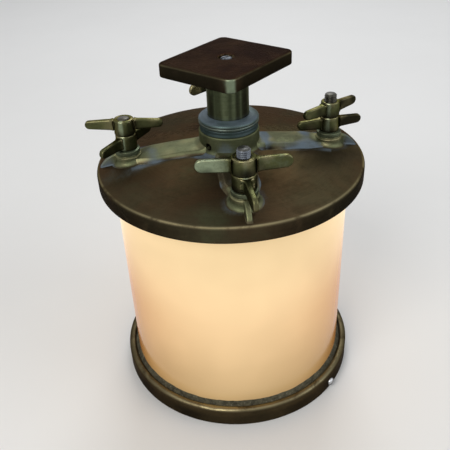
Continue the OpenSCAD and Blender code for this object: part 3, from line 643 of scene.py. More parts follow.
def patina_group():
    """Old brass: blotches of stain over the base colour, and another colour, darkening, bare metal and bloom where
    the piece's attributes say so, all broken up by noise. The darkening is real stain and painted shade alike, and
    the bare metal is worn metal and painted highlights alike; the other colour paints highlights on some pieces.
    Raised edges are bare too. Tarnish hides the metal, so only bare edges are fully metallic."""
    tones = dict.fromkeys(("Base", "Tint", "Stain", "Bare", "Bloom", "Second"), (0.1, 0.1, 0.05, 1.0))
    amounts = ("Scale", "Stain amount", "Bare amount", "Bloom amount", "Metal amount", "Rough amount")
    w, given, out = new_group("old_brass", {**tones, **dict.fromkeys(amounts, 0.5)},
                              ("Color", "Roughness", "Height", "Metal"))
    v = w.new("ShaderNodeVectorMath", {0: w.place(), "Scale": given["Scale"]}, operation="SCALE").outputs[0]
    wide = w.noise(v, 0.45, 5.0, 0.6, 0.4)
    blotch = w.noise(v, 1.7, 5.0, 0.62, 0.6)
    fine = w.noise(v, 9.0, 4.0, 0.6)
    speck = w.noise(v, 26.0, 2.0, 0.5)
    colour = w.mix(w.ramp(wide, 0.38, 0.62), given["Base"], given["Tint"])
    # Another colour where the piece's attribute says so; on the plate and the nuts it is a painted highlight.
    second = w.ramp(w.add(w.mask("second"), w.times(blotch, 0.8)), 0.55, 1.25)
    colour = w.mix(second, colour, given["Second"])
    stain = w.ramp(w.add(w.times(blotch, 0.5), w.times(fine, 0.5)), 0.40, 0.68)
    # Darkening from the piece's attribute: real stain on some pieces, painted shade on others.
    dirt_and_shade = w.times(w.mask("dirt_and_shade"), w.ramp(blotch, 0.15, 0.5))
    stain = w.math("MAXIMUM", w.times(stain, given["Stain amount"], True), dirt_and_shade)
    colour = w.mix(stain, colour, given["Stain"])
    lighter = w.mix(1.0, colour, (1.35, 1.35, 1.3), "MULTIPLY")
    colour = w.mix(w.times(w.ramp(fine, 0.3, 0.7), 0.6), colour, lighter)
    raised = w.ramp(w.new("ShaderNodeNewGeometry").outputs["Pointiness"], 0.515, 0.60)
    # Bare metal from raised edges and from the piece's attribute, which holds painted highlights besides worn metal.
    worn = w.times(w.add(raised, w.mask("wear_and_highlight"), True), w.ramp(blotch, 0.30, 0.52))
    worn = w.times(worn, given["Bare amount"], True)
    colour = w.mix(worn, colour, given["Bare"])
    cloud = w.add(w.times(blotch, 0.55), w.times(speck, 0.2))
    chalk = w.ramp(w.add(w.times(w.mask("bloom"), 0.75), cloud), 0.60, 1.30)
    chalk = w.times(chalk, given["Bloom amount"], True)
    rough = w.add(w.add(given["Rough amount"], w.times(stain, 0.14)), w.times(chalk, 0.3))
    height = w.add(w.times(fine, 0.6), w.times(speck, 0.4))
    metal = w.add(given["Metal amount"], w.times(worn, 0.8), True)
    w.feed(out, {"Color": w.mix(chalk, colour, given["Bloom"]),
                 "Roughness": w.less(rough, w.times(worn, 0.16), True),
                 "Height": w.add(height, w.times(chalk, 0.5)),
                 "Metal": w.times(metal, w.less(1.0, w.times(chalk, 0.8), True))})
    return w.tree


def turning_group():
    """Marks of turning: noise that is stretched round the Z axis, because it reads only the distance from the
    axis and the height, and a little of x."""
    w, given, out = new_group("turning_marks", {"Pitch": 900.0}, ("Mark", "Height"))
    at = w.parts(w.place())
    radius = w.math("SQRT", w.add(w.math("POWER", at["X"], 2.0), w.math("POWER", at["Y"], 2.0)))
    joined = w.new("ShaderNodeCombineXYZ", {"X": w.times(radius, given["Pitch"]),
                                            "Y": w.times(at["Z"], given["Pitch"]), "Z": w.times(at["X"], 12.0)})
    marks = w.noise(joined.outputs[0], 1.0, 3.0, 0.6)
    w.feed(out, {"Mark": w.ramp(marks, 0.35, 0.68), "Height": marks})
    return w.tree


def new_material(name, values):
    """A material with one Principled shader, whose plain values are set on its own sockets."""
    material = bpy.data.materials.new(name)
    material.use_nodes = True
    material.node_tree.nodes.clear()
    w = Wiring(material.node_tree)
    shader = w.new("ShaderNodeBsdfPrincipled", values)
    w.new("ShaderNodeOutputMaterial", {"Surface": shader.outputs[0]})
    return material, w, shader


def scaled(colour, *by):
    """A colour times one number, or times three."""
    return tuple(v * k for v, k in zip(colour, by * (3 // len(by))))


def brass(name, base, tint, stain, bare, bloom, scale, grain, marks=0.0, second=None, metal=0.8, rough=0.4,
          sheen=0.5, edge=(0.5, 0.48, 0.42)):
    """Old brass in its own colours. grain is the depth of the cast skin, marks the strength of turning marks,
    metal how much the tarnish shows the metal, sheen the tarnish's own gloss and edge the tint at the limb."""
    c = colours()
    material, w, shader = new_material(name, {
        "Metallic": 1.0, "IOR": 1.45, "Specular IOR Level": sheen, "Specular Tint": edge})
    old = w.new("ShaderNodeGroup", {
        "Base": base, "Tint": tint, "Stain": tuple(c.stain), "Bare": tuple(c.bare), "Bloom": tuple(c.bloom),
        "Second": second or base, "Scale": scale, "Stain amount": stain, "Bare amount": bare,
        "Bloom amount": bloom, "Metal amount": metal, "Rough amount": rough}, node_tree=GROUPS["patina"]).outputs
    colour, height = old["Color"], old["Height"]
    if marks:
        turning = w.new("ShaderNodeGroup", node_tree=GROUPS["turning"]).outputs
        darker = w.mix(1.0, colour, (0.66, 0.66, 0.66), "MULTIPLY")
        colour = w.mix(w.times(turning["Mark"], marks), colour, darker)
        height = w.add(height, w.times(turning["Height"], marks))
    w.feed(shader, {"Base Color": colour, "Roughness": old["Roughness"], "Metallic": old["Metal"],
                    "Normal": w.bump(height, 0.55, grain)})
    return material


def steel(name, base, rough=0.35, uneven=1.0):
    """Dull steel with darker specks and fine scratches, both as strong as uneven says, and dark brown where the
    piece's darkening attribute says so."""
    material, w, shader = new_material(name, {"Metallic": 1.0, "Roughness": rough})
    at = w.place()
    cloud = w.noise(at, 260.0, 5.0, 0.6)
    colour = w.mix(w.ramp(cloud, 0.42, 0.64), base, scaled(base, 1 - 0.55 * uneven))
    w.feed(shader, {"Base Color": w.mix(w.mask("dirt_and_shade"), colour, (0.05, 0.044, 0.026)),
                    "Roughness": w.add(rough - 0.08, w.times(cloud, 0.25)),
                    "Normal": w.bump(w.noise(at, 1800.0, 3.0, 0.6), 0.3 * uneven, 0.1)})
    return material


def plain(name, base, rough, scale=300.0, vary=0.25, grain=0.1, values=None):
    """A dull material whose colour varies a little in clouds."""
    material, w, shader = new_material(name, {"Roughness": rough, **(values or {})})
    at = w.place()
    cloud = w.ramp(w.noise(at, scale, 5.0, 0.6), 0.35, 0.68)
    w.feed(shader, {"Base Color": w.mix(cloud, base, scaled(base, 1 - vary)),
                    "Normal": w.bump(w.noise(at, scale * 4, 3.0, 0.6), 0.3, grain)})
    return material


def putty_material():
    """Hardened putty: grey-green, speckled dark and light, and rough."""
    base = tuple(colours().putty)
    material, w, shader = new_material("old_putty", {"Roughness": 0.85, "Specular IOR Level": 0.25})
    at = w.place()
    coarse = w.noise(at, 190.0, 6.0, 0.68, 0.5)
    speck = w.noise(at, 620.0, 4.0, 0.6)
    colour = w.mix(w.ramp(coarse, 0.36, 0.62), scaled(base, 0.42), base)
    w.feed(shader, {"Base Color": w.mix(w.ramp(speck, 0.56, 0.72), colour, scaled(base, 2.0, 2.1, 2.4)),
                    "Normal": w.bump(w.add(coarse, w.times(speck, 0.5)), 0.8, 0.9)})
    return material


def opal_material():
    """Lit opal glass: brightest beside the bulb, dimmer and warmer towards both ends, with faint clouds. The
    limb is a little dimmer, as it is in any lit white glass, and the surface has a gloss."""
    opal, glow = tuple(colours().opal), tuple(colours().glow)
    material, w, shader = new_material("opal_glass", {
        "Roughness": 0.16, "IOR": 1.5, "Specular IOR Level": 0.26, "Emission Strength": 1.0})
    at = w.place()
    z = w.parts(at)["Z"]
    facing = w.new("ShaderNodeLayerWeight", {"Blend": 0.5}).outputs["Facing"]
    below = w.ramp(w.less(BULB_Z, z), 0.005, 0.122)
    above = w.times(w.ramp(w.less(z, BULB_Z), 0.0, 0.055), w.less(0.56, w.times(facing, 0.5), True))
    cloud = w.noise(at, 16.0, 2.0, 0.5)
    falls = w.add(w.add(below, above), w.times(w.less(cloud, 0.5), 0.35), True)
    lit = w.mix(falls, glow, scaled(glow, 0.42, 0.40, 0.30))
    limb = w.times(facing, w.add(w.times(w.ramp(z, 0.195, 0.09), 0.92), 0.08), True)
    base = w.mix(w.ramp(cloud, 0.3, 0.7), opal, scaled(opal, 0.9))
    w.feed(shader, {"Emission Color": w.mix(limb, lit, w.mix(1.0, lit, (0.30, 0.06, 0.0), "MULTIPLY")),
                    "Base Color": w.mix(limb, base, w.mix(1.0, base, (0.6, 0.45, 0.05), "MULTIPLY"))})
    return material


def bulb_material():
    """Frosted bulb glass, lit."""
    material, w, shader = new_material("frosted_bulb", {"Roughness": 0.4, "Emission Strength": 1.0})
    cloud = w.noise(w.place(), 40.0, 2.0, 0.5)
    w.feed(shader, {"Base Color": w.mix(cloud, (0.9, 0.85, 0.75), (0.85, 0.8, 0.7)),
                    "Emission Color": w.mix(cloud, (0.55, 0.42, 0.25), (0.48, 0.35, 0.2))})
    return material


GROUPS = {}
FINISH = {}


def make_finishes():
    """Builds the node groups once, then every material."""
    c = colours()
    GROUPS["patina"] = patina_group()
    GROUPS["turning"] = turning_group()
    # Each row: name, base, tint, stain, bare, bloom, scale, grain, marks, second, metal, rough, sheen, edge
    brasses = {
        "cover": ("cover_bronze", tuple(c.bronze), (0.052, 0.044, 0.025), 0.4, 0.7, 0.8, 26.0, 0.25, 0.3,
                  (0.115, 0.128, 0.068), 0.85, 0.5, 0.2, (0.30, 0.25, 0.21)),
        "relief": ("arm_brass", tuple(c.olive), (0.10, 0.11, 0.058), 0.4, 0.5, 1.0, 60.0, 0.45, 0.0,
                   (0.056, 0.046, 0.026), 0.7, 0.44, 0.3),
        # The nut's other colour paints the highlight down each barrel and colours the front lock nut's wings.
        "nut": ("wing_nut_brass", (0.080, 0.086, 0.036), (0.054, 0.058, 0.024), 0.5, 0.7, 0.15, 90.0, 0.25, 0.0,
                (0.24, 0.29, 0.19), 0.9, 0.30, 0.5, (0.42, 0.40, 0.33)),
        "washer": ("washer_brass", (0.12, 0.15, 0.095), (0.085, 0.10, 0.06), 0.4, 0.6, 0.5, 90.0, 0.2, 0.3,
                   None, 0.7),
        "stem": ("stem_brass", (0.070, 0.088, 0.046), (0.055, 0.066, 0.034), 0.4, 0.3, 0.3, 50.0, 0.2, 0.4,
                 (0.15, 0.18, 0.10), 0.85, 0.38),
        "collar": ("collar_brass", (0.068, 0.104, 0.102), (0.046, 0.074, 0.075), 0.3, 0.35, 1.0, 70.0, 0.2, 0.4,
                   None, 0.7, 0.38),
        # The plate's other colour paints the highlight on its front corner.
        "plate": ("plate_bronze", (0.018, 0.011, 0.006), (0.028, 0.021, 0.014), 0.35, 0.7, 0.0, 45.0, 0.25, 0.0,
                  (0.20, 0.25, 0.17), 0.9, 0.45, 0.12, (0.36, 0.31, 0.27)),
        "base": ("base_ring_brass", (0.063, 0.046, 0.024), (0.05, 0.038, 0.02), 0.45, 0.7, 0.3, 35.0, 0.25, 0.3,
                 None, 0.85, 0.42, 0.3, (0.42, 0.38, 0.32)),
        "ring": ("ring_brass", (0.20, 0.16, 0.07), (0.14, 0.11, 0.05), 0.4, 0.4, 0.0, 50.0, 0.15, 0.4),
        "gold": ("bright_brass", (0.62, 0.46, 0.18), (0.50, 0.36, 0.14), 0.2, 0.5, 0.0, 80.0, 0.05),
    }
    FINISH.update({key: brass(*row) for key, row in brasses.items()})
    FINISH["steel"] = steel("dull_steel", tuple(c.steel))
    FINISH["stud"] = steel("stud_steel", scaled(c.steel, 1.15), 0.34, 0.3)
    FINISH["worn"] = steel("worn_steel", scaled(c.steel, 0.75), 0.5)
    FINISH["bright"] = steel("screw_steel", (0.55, 0.56, 0.58), 0.28)
    FINISH["zinc"] = steel("zinc_plate", (0.45, 0.46, 0.47), 0.4)
    FINISH["rubber"] = plain("black_rubber", (0.02, 0.02, 0.02), 0.75)
    FINISH["porcelain"] = plain("glazed_porcelain", (0.80, 0.78, 0.72), 0.15, 60.0, 0.08, 0.02,
                                {"Coat Weight": 0.6, "Coat Roughness": 0.05})
    FINISH["ivory"] = plain("terminal_plastic", (0.72, 0.68, 0.58), 0.45, 200.0, 0.1)
    FINISH["wire"] = plain("wire_insulation", (0.22, 0.05, 0.03), 0.4, 300.0, 0.2)
    FINISH["putty"] = putty_material()
    FINISH["opal"] = opal_material()
    FINISH["bulb"] = bulb_material()


def dress(**finishes):
    """Gives the CAD nodes that stay their materials."""
    for node, finish in finishes.items():
        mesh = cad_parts[node].data
        mesh.materials.clear()
        mesh.materials.append(FINISH[finish])


# Masks of the cover, as functions of its points


def dome_bloom(p):
    """Near the bosses and the hub, along the arms, on the front of the hub and on the left of the dome."""
    arms = 0.7 * bell(p.arm, 17.0, 3.5) * (p.r < STUD_R) * (p.r > 26) * (p.y > -28)
    left = 0.9 * bell(p.x, -88, 24) * bell(p.y, -26, 20)
    patchy = 0.65 + 0.5 * p.waves(40, 5)
    hub = 0.75 * bell(p.angle, -103, 16) * (p.r < 28) * (p.z < HUB_TOP - 5)
    dome = 0.9 * bell(p.stud, 14, 6.0) + 0.8 * bell(p.r, 30, 5.0) + arms + left
    return unit(dome * patchy + hub) * (p.z > SEAT_Z + 1)


def rim_wear_and_highlight(p):
    """The dome's outer edge, unevenly: worn bare, and standing in for the edge's highlight too."""
    rim = bell(p.r, COVER_R - 1.3, 0.7) * (p.z > SEAT_Z - 1)
    return unit(rim * (0.75 + 0.5 * p.waves(50, 8)))


def cover_painted_shade(p):
    """Painted shade on the skirt's side, thinner towards the front where it is lit, darker patches on the hub
    either side of the front, painted shade over the back of the dome, and full painted shade in the set
    screw's hole."""
    c, s = math.cos(math.radians(SET_SCREW_TURN)), math.sin(math.radians(SET_SCREW_TURN))
    ahead = p.x * c + p.y * s
    hole = (np.hypot(p.x * s - p.y * c, p.z - SET_SCREW_Z) < 3.2) & (ahead > STEM_R + 0.8) & (ahead < 24.2)
    side = (p.z < dome_z(COVER_R - 3)) * (p.r > COVER_R - 1.5)
    hub = 0.45 * bell(p.angle, -146, 13) + 0.4 * bell(p.angle, -62, 16)
    back = 0.28 * unit(p.y / 40) * (p.r > 32)
    front = bell(np.arctan2(p.x, -p.y), -0.15, 0.4)
    return np.where(hole, 1.0, side * (0.85 - 0.7 * front) + hub * (p.r < 27) + back * (1 - side))


def hub_tone(p):
    """The hub, where the casting has the arms' colour, and some of the dome at the front and left."""
    hub = unit((p.over - 0.6) / 1.6) * (p.r < 34)
    green = (0.34 * bell(p.x, -88, 30) * bell(p.y, -36, 30) + 0.42 * bell(p.x, -18, 36) * bell(p.y, -95, 22)
             + 0.34 * bell(p.x, -36, 22) * bell(p.y, -42, 20))
    return np.maximum(hub, green * (0.8 + 0.4 * p.waves(60, 9)))


def foot_tone(p):
    """The foot of the arms and gussets, and the front arm's sides, where the casting has the disc's colour."""
    foot = (1 - unit((p.over - 0.6) / 1.7)) * unit((p.stud - 12.2) / 2.0)
    front = unit((np.abs(p.x) - 3) / 4) * (p.y < -27) * (p.y > 14 - STUD_R)
    return np.maximum(foot, front)


def relief_bloom(p):
    """Low down, at both ends of the arms, more on the right, on the right arm's flank and on the gussets."""
    foot = np.exp(-np.clip(p.over, 0, None) / 1.6)
    ends = bell(p.r, 30, 6) + 0.9 * bell(p.r, 65, 7)
    flank = 0.55 * (p.x > 28) * (p.x < 76) * bell(p.y, -12, 5.0)
    outside = 0.7 * unit((np.maximum(np.abs(p.x), np.abs(p.y)) - STUD_R - 8) / 8) * (p.y > -60)
    return unit((0.7 * foot + (0.6 + 0.5 * (p.x > 20)) * ends) * (0.6 + 0.9 * p.waves(26, 6)) + outside + flank)


def relief_wear_and_highlight(p):
    """Worn patches; the edge of each boss's shoulder, worn and standing in for its highlight too; and a painted
    highlight down the left and right bosses.
    """
    edge = 0.5 * bell(p.stud, 10.6, 0.7) * (p.z > BOSS_TOP - 2.2)
    around = np.degrees(np.arctan2(p.y, p.x - STUD_R * np.sign(p.x)))
    # Painted highlight down the side of the left and right bosses.
    streak = 0.4 * bell(around, -111, 15) * (p.stud < 12.5) * (np.abs(p.x) > 50)
    return unit(0.1 + 0.45 * p.waves(18, 7) + edge + streak)


def relief_shade_and_darkening(p):
    """Painted shade low on the arms' flanks, and darker over the right arm."""
    foot = 0.55 * (1 - unit((p.over - 0.8) / 2.2)) * unit(0.6 + 0.8 * p.waves(20, 13))
    right = 0.58 * unit((p.x - 24) / 6) * (np.abs(p.y) < 18)
    return (foot + right) * unit((p.stud - 11.5) / 4.0)


# Operators, one for each piece or group of like pieces


class LAMP_OT_cover(Operator):
    """Cast cover: turned dome and hub, four arms, four bosses and four gussets"""

    bl_idname = "lamp.cover"
    bl_label = "Cover"

    def execute(self, context):
        body = turned(cover_section())
        body[..., 2] += 0.12 * waves(body, 70, 3)
        piece = make_piece("cover_dome", [(body, True, True)], "cover", "cover_assembly", ["cover"])
        self.drill(piece)
        store_masks(piece.data, {"bloom": dome_bloom, "wear_and_highlight": rim_wear_and_highlight, "second": hub_tone, "dirt_and_shade": cover_painted_shade})
        shells = []
        for side, turn in SIDES.items():
            arm = arm_surface(0.3 if side == "front" else 2.4)
            shells += [(placed(arm, turn=turn), False, True), (placed(gusset(), turn=turn), False, True),
                       (placed(boss(), turn=turn), True, True)]
        make_piece("cover_arms_and_bosses", shells, "relief", "cover_assembly",
                   masks={"bloom": relief_bloom, "wear_and_highlight": relief_wear_and_highlight, "second": foot_tone, "dirt_and_shade": relief_shade_and_darkening})
        return {"FINISHED"}

    @staticmethod
    def drill(piece):
        """Cuts the four stud holes and the set screw's hole with a Boolean, and keeps the result as a mesh."""
        hole = turned(rod(STUD_HOLE_R, SKIRT_Z - 5, HUB_TOP), 32)
        shells = [(placed(hole, at), True, True) for at in STUD_AT.values()]
        start, bore, mouth, out = STEM_R + 1, 2.7, 3.3, 30.0
        screw_hole = np.array([[0, start], [bore, start], [bore, 23.8], [mouth, 24.6], [mouth, out], [0, out]])
        shells.append(lying(screw_hole, SET_SCREW_TURN, SET_SCREW_Z))
        cutter = make_piece("drill", shells, "cover", "cover_assembly")
        modifier = piece.modifiers.new("holes", "BOOLEAN")
        modifier.operation, modifier.solver, modifier.object = "DIFFERENCE", "EXACT", cutter
        graph = bpy.context.evaluated_depsgraph_get()
        piece_cut = bpy.data.meshes.new_from_object(piece.evaluated_get(graph))
        piece.modifiers.clear()
        piece.data = piece_cut
        piece_cut.set_sharp_from_angle(angle=math.radians(40))
        bpy.data.objects.remove(cutter)


class LAMP_OT_fastenings(Operator):
    """Studs with their threads, washers and the eight wing nuts"""

    bl_idname = "lamp.fastenings"
    bl_label = "Studs, washers and wing nuts"

    STUDS_SHOW = {"front": 6.0, "right": 5.9, "back": 2.9, "left": 0.3}
    # Each nut: barrel's radius, span, angle, bends of its wings, height of tip, of root, and of the wings' middle
    NUTS = {
        "front_clamp": (9.3, 69.0, -85.0, (-7.0, 0), 10.4, 10.8, 6.2),
        "front_lock": (9.3, 69.0, -5.5, (4.0, 0.0), 9.8, 10.8, 6.2),
        "right_clamp": (7.9, 56.0, 8.5, (0, 1.5), 7.6, 9.6, 6.3),
        "right_lock": (7.9, 56.0, 28.0, (2.5, 0), 7.6, 9.6, 6.3),
        "back_clamp": (8.5, 62.0, 82.0, (0, 0), 7.6, 9.6, 6.3),
        "back_lock": (8.5, 62.0, 31.0, (0, -4.0), 10.4, 10.8, 6.0),
        "left_clamp": (8.5, 62.0, 51.5, (0, 0), 7.6, 9.6, 6.3),
        "left_lock": (8.5, 62.0, -6.1, (0, 1.5), 6.8, 9.2, 7.8),
    }

    def execute(self, context):
        rods = []
        for index, (side, at) in enumerate(STUD_AT.items()):
            top = NUTS_TOP + self.STUDS_SHOW[side]
            rods.append((placed(thread(top - STUD_LONG, top), at, 40.0 * index), False, True))
        make_piece("stud_rods", rods, "stud", "lamp_body", ["studs"],
                   {"dirt_and_shade": lambda p: np.where(np.abs(p.x) > 40, 0.85, 0.7 * (p.z > NUTS_TOP + 5.2))}, 60.0)
        section = rounded([[STUD_HOLE_R, BOSS_TOP], [WASHER_R, BOSS_TOP], [WASHER_R, WASHER_TOP - 0.5],
                           [WASHER_R - 2.0, WASHER_TOP], [STUD_HOLE_R, WASHER_TOP]], [0.2, 0.5, 0.5, 0.6, 0.4], 4)
        make_piece("stud_washers", [(placed(turned(section, 64), at), True, True) for at in STUD_AT.values()],
                   "washer", "cover_assembly", ["washers"])
        for name, (radius, span, turn, *wings) in self.NUTS.items():
            node = name + "_nut"
            seed = sum((i + 1) * ord(letter) for i, letter in enumerate(name)) % 1000
            centre = (middle(node, 0), middle(node, 1), low(node))
            shells = []
            for grid, *wraps in wing_nut(radius, span, high(node) - low(node), *wings):
                grid = placed(grid, centre, turn)
                shells.append((grid + 0.09 * waves(grid, 14, seed)[..., None] * np.array([1, 1, 0]), *wraps))
            make_piece(name + "_nut_casting", shells, "nut", name + "_wing", [node],
                       self.nut_masks(name, centre, radius))
        return {"FINISHED"}

    @staticmethod
    def nut_masks(name, centre, radius):
        """Bare patches, a painted highlight down the barrel on the side towards the front, paler wings on the front
        lock nut, darkening low down, and painted shade on the right nuts' outer wings."""
        front, back = name == "front_lock", name == "back_lock"
        # Angle round each barrel where its painted highlight runs.
        where = {"front": -92, "right": -115, "back": -100, "left": -108}[name.split("_")[0]]

        def bare(p):
            """Patches, the barrel's top, and the back lock nut's left wing."""
            return unit(0.3 * p.waves(14, 21) + 0.9 * back * (p.x < -16) + 0.3 * unit((p.z - centre[2] - 9.0) / 3.0))

        def pale(p):
            """The painted highlight down the barrel, and the front lock nut's paler wings."""
            x, y = p.x - centre[0], p.y - centre[1]
            streak = (0.4 if front else 0.8) * bell(np.degrees(np.arctan2(y, x)), where, 16)
            wings = np.where(x < 0, unit((-x - 8) / 17) + 0.15, 0.28) * (np.abs(x) > 10.5)
            return streak * (np.hypot(x, y) < radius + 0.3) + front * wings

        def darkening_and_shade(p):
            """Darker low down, and painted shade on the right nuts' outer wings."""
            stain = 0.8 - (p.z - centre[2] - 1.5) / 9.0 + 0.4 * p.waves(15, 22)
            return np.clip(stain - 0.4 * front * (p.x < -11) + 1.2 * (p.x > STUD_R + 8), 0, 0.93)

        return {"wear_and_highlight": bare, "second": pale, "dirt_and_shade": darkening_and_shade}


class LAMP_OT_stem(Operator):
    """Stem, plain ring, grooved collar, set screw, mounting plate and its middle screw"""

    bl_idname = "lamp.stem"
    bl_label = "Stem and mounting plate"

    def execute(self, context):
        tap_r, tap_low = 3.2, STEM_TOP - 9
        tube = rounded([[STEM_IN_R, STEM_LOW], [STEM_R, STEM_LOW], [STEM_R, STEM_TOP], [tap_r, STEM_TOP],
                        [tap_r, tap_low], [STEM_IN_R, tap_low]], [0, 0.4, 0, 0, 0, 1.0], 4)
        make_piece("stem_tube", [lathe(tube, 3.0, 128)], "stem", "cover_assembly", ["stem"],
                   {"bloom": lambda p: np.exp(-np.abs(p.z - COLLAR_TOP) / 3.0), "second": self.stem_streaks,
                    "dirt_and_shade": self.stem_painted_shade})
        neck = rounded([[STEM_HOLE_R, HUB_TOP], [NECK_R, HUB_TOP], [NECK_R - 0.35, (HUB_TOP + NECK_TOP) / 2],
                        [NECK_R, NECK_TOP], [STEM_HOLE_R, NECK_TOP]], [0, 0.5, 4.0, 0.6, 0])
        make_piece("neck_ring", [lathe(neck, 1.5, 128)], "collar", "cover_assembly", ["stem_neck_ring"],
                   {"bloom": lambda p: 0.35 + 0.4 * p.waves(30, 31)})
        bead, groove_r = NECK_TOP + (COLLAR_TOP - NECK_TOP) * 0.4, COLLAR_R - 1.1
        ring = rounded([[STEM_HOLE_R, NECK_TOP], [COLLAR_R - 0.1, NECK_TOP], [COLLAR_R, bead], [groove_r, bead + 0.1],
                        [groove_r, bead + 0.7], [COLLAR_R - 0.3, bead + 0.7]], [0, 0.9, 1.1, 0.2, 0.2, 0])
        a = np.linspace(0, np.pi / 2, 14)
        cushion = np.stack([STEM_R + 0.6 + (COLLAR_R - STEM_R - 0.6) * np.cos(a),
                            bead + 0.9 + (COLLAR_TOP - bead - 0.9) * np.sin(a)], -1)
        ring = np.concatenate([ring, cushion, [[STEM_HOLE_R, COLLAR_TOP]]])
        make_piece("collar_ring", [lathe(ring, 1.5, 128)], "collar", "cover_assembly", ["stem_collar"],
                   {"bloom": lambda p: unit((p.z - bead - 1.0) / 1.5) * (0.9 + 0.4 * p.waves(26, 32)),
                    "wear_and_highlight": lambda p: 0.35 * bell(p.z, bead - 0.8, 0.9)})
        self.set_screw()
        self.plate()
        head = slotted_head(radius=5.0, tall=2.5, slot=0.75, deep=1.3)[..., [1, 2, 0]]
        make_piece("middle_screw", [(placed(head, (0, 0, PLATE_TOP - 3.0), 20.0), True, False),
                                    (turned(rod(2.95, STEM_TOP - 8, PLATE_TOP - 2.9), 32), True, True)],
                   "worn", "cover_assembly", ["plate_screw"])
        return {"FINISHED"}

    @staticmethod
    def stem_streaks(p):
        """Paler streaks up the stem: narrow bands in the angle round its axis."""
        streaks = ((-104, 12, 0.9), (-82, 7, 0.7), (-60, 4, 0.6), (-136, 5, 0.5), (70, 12, 0.6))
        return sum(deep * bell(p.angle, where, wide) for where, wide, deep in streaks)

    @staticmethod
    def stem_painted_shade(p):
        """Painted shade on both sides of the stem, and the plate's painted shadow on the stem just under it."""
        sides = bell(p.angle, -150, 16) + 1.3 * bell(p.angle, -44, 17) + 0.7 * bell(p.angle, -71, 5)
        return np.clip(0.75 * sides + 0.8 * unit((p.z - PLATE_Z + 9) / 9), 0, 0.9)

    @staticmethod
    def set_screw():
        """A slotted grub screw below the hub's face, pointing outwards."""
        radius, face = 2.05, sizes().hub_radius - 6.0
        head = slotted_head(radius, tall=1.0, slot=0.4, deep=0.8) + np.array([face - 1.0, 0, 0])
        make_piece("hub_set_screw", [(placed(head, (0, 0, SET_SCREW_Z), SET_SCREW_TURN), True, False),
                                     lying(rod(radius, STEM_R + 0.05, face - 0.9), SET_SCREW_TURN, SET_SCREW_Z)],
                   "steel", "cover_assembly", ["stem_set_screw"])

    @staticmethod
    def plate():
        """The mounting plate: a rounded rectangle with soft edges, whose top dips in the middle to the screw's
        seat. Rows run from the middle of the top over the edge to the middle of the underside."""
        s = sizes()
        w, l, soft, soft_below, seat_r = s.plate_w / 2, s.plate_l / 2, 1.6, 1.0, 6.0
        outline = finer(rounded([[w, -l], [w, l], [-w, l], [-w, -l]], [s.plate_corner] * 4, 12), 3.0)
        normal = across(outline)
        inner = outline - normal * soft
        rows = []
        for k in (0, 0.04, 0.08, 0.12, 0.145, 0.16, 0.175, 0.2, 0.23, 0.27, *np.linspace(0.34, 1, 16, endpoint=False)):
            rho = np.hypot(*(inner * k).T)
            dip = 2.9 * unit((seat_r - rho) / 0.5) + 0.5 * bell(rho, seat_r, 2.0) * (rho > seat_r - 0.5)
            rows.append((inner * k, PLATE_TOP - dip))
        for turn in np.linspace(np.pi / 2, 0, 7):
            rows.append((outline - normal * soft * (1 - math.cos(turn)), PLATE_TOP - soft + soft * math.sin(turn)))
        for turn in np.linspace(0, np.pi / 2, 6):
            rows.append((outline - normal * soft_below * (1 - math.cos(turn)),
                         PLATE_Z + soft_below - soft_below * math.sin(turn)))
        rows += [(inner * k, PLATE_Z) for k in np.linspace(0.96, 0.0, 12)]
        grid = np.array([np.stack([*p.T, z + 0 * p[:, 0]], -1) for p, z in rows]).transpose(1, 0, 2)
        rough = np.abs(waves(grid, 22, 41) * 0.16 + waves(grid, 60, 42) * 0.2)
        grid = grid * np.stack([1 - 0.004 * np.abs(waves(grid, 16, 43)), 1 - 0.004 * np.abs(waves(grid, 18, 44)),
                                np.ones_like(rough)], -1)
        grid[..., 2] -= np.where(grid[..., 2] > PLATE_TOP - 2, 0.3 * rough * unit(1 - rough), 0)

        def own(p):
            """The larger of the plate's own coordinates, one at a side, and their sum, nearly two at a corner."""
            x, y, _ = np.abs(placed(p.co, turn=-PLATE_TURN)).T
            return np.maximum(x / w, y / l), x / w + y / l

        def worn(p):
            """The upper edge, most of all at the corners."""
            side, both = own(p)
            return unit((side - 0.975) * 20) * bell(p.z, PLATE_TOP - 0.6, 0.7) * (0.3 + 0.5 * unit((both - 1.62) / 0.3))

        def pale(p):
            """A painted highlight down the rounded corner nearest to the front."""
            return 1.1 * bell(p.x, -3.3, 3.4) * (p.y < -40) * (p.z < PLATE_TOP - 0.4)

        def darkening_and_shade(p):
            """Painted shade on the sides, but not on the front corner, which holds the painted highlight."""
            side, both = own(p)
            return 0.9 * (side > 0.985) * (1 - unit((both - 1.62) / 0.2) * (p.y < -20)) * (p.z < PLATE_TOP - 0.8)

        make_piece("bulkhead_plate", [(placed(grid, turn=PLATE_TURN), True, False)], "plate", "cover_assembly",
                   ["mounting_plate"], {"wear_and_highlight": worn, "second": pale, "dirt_and_shade": darkening_and_shade}, 45.0)


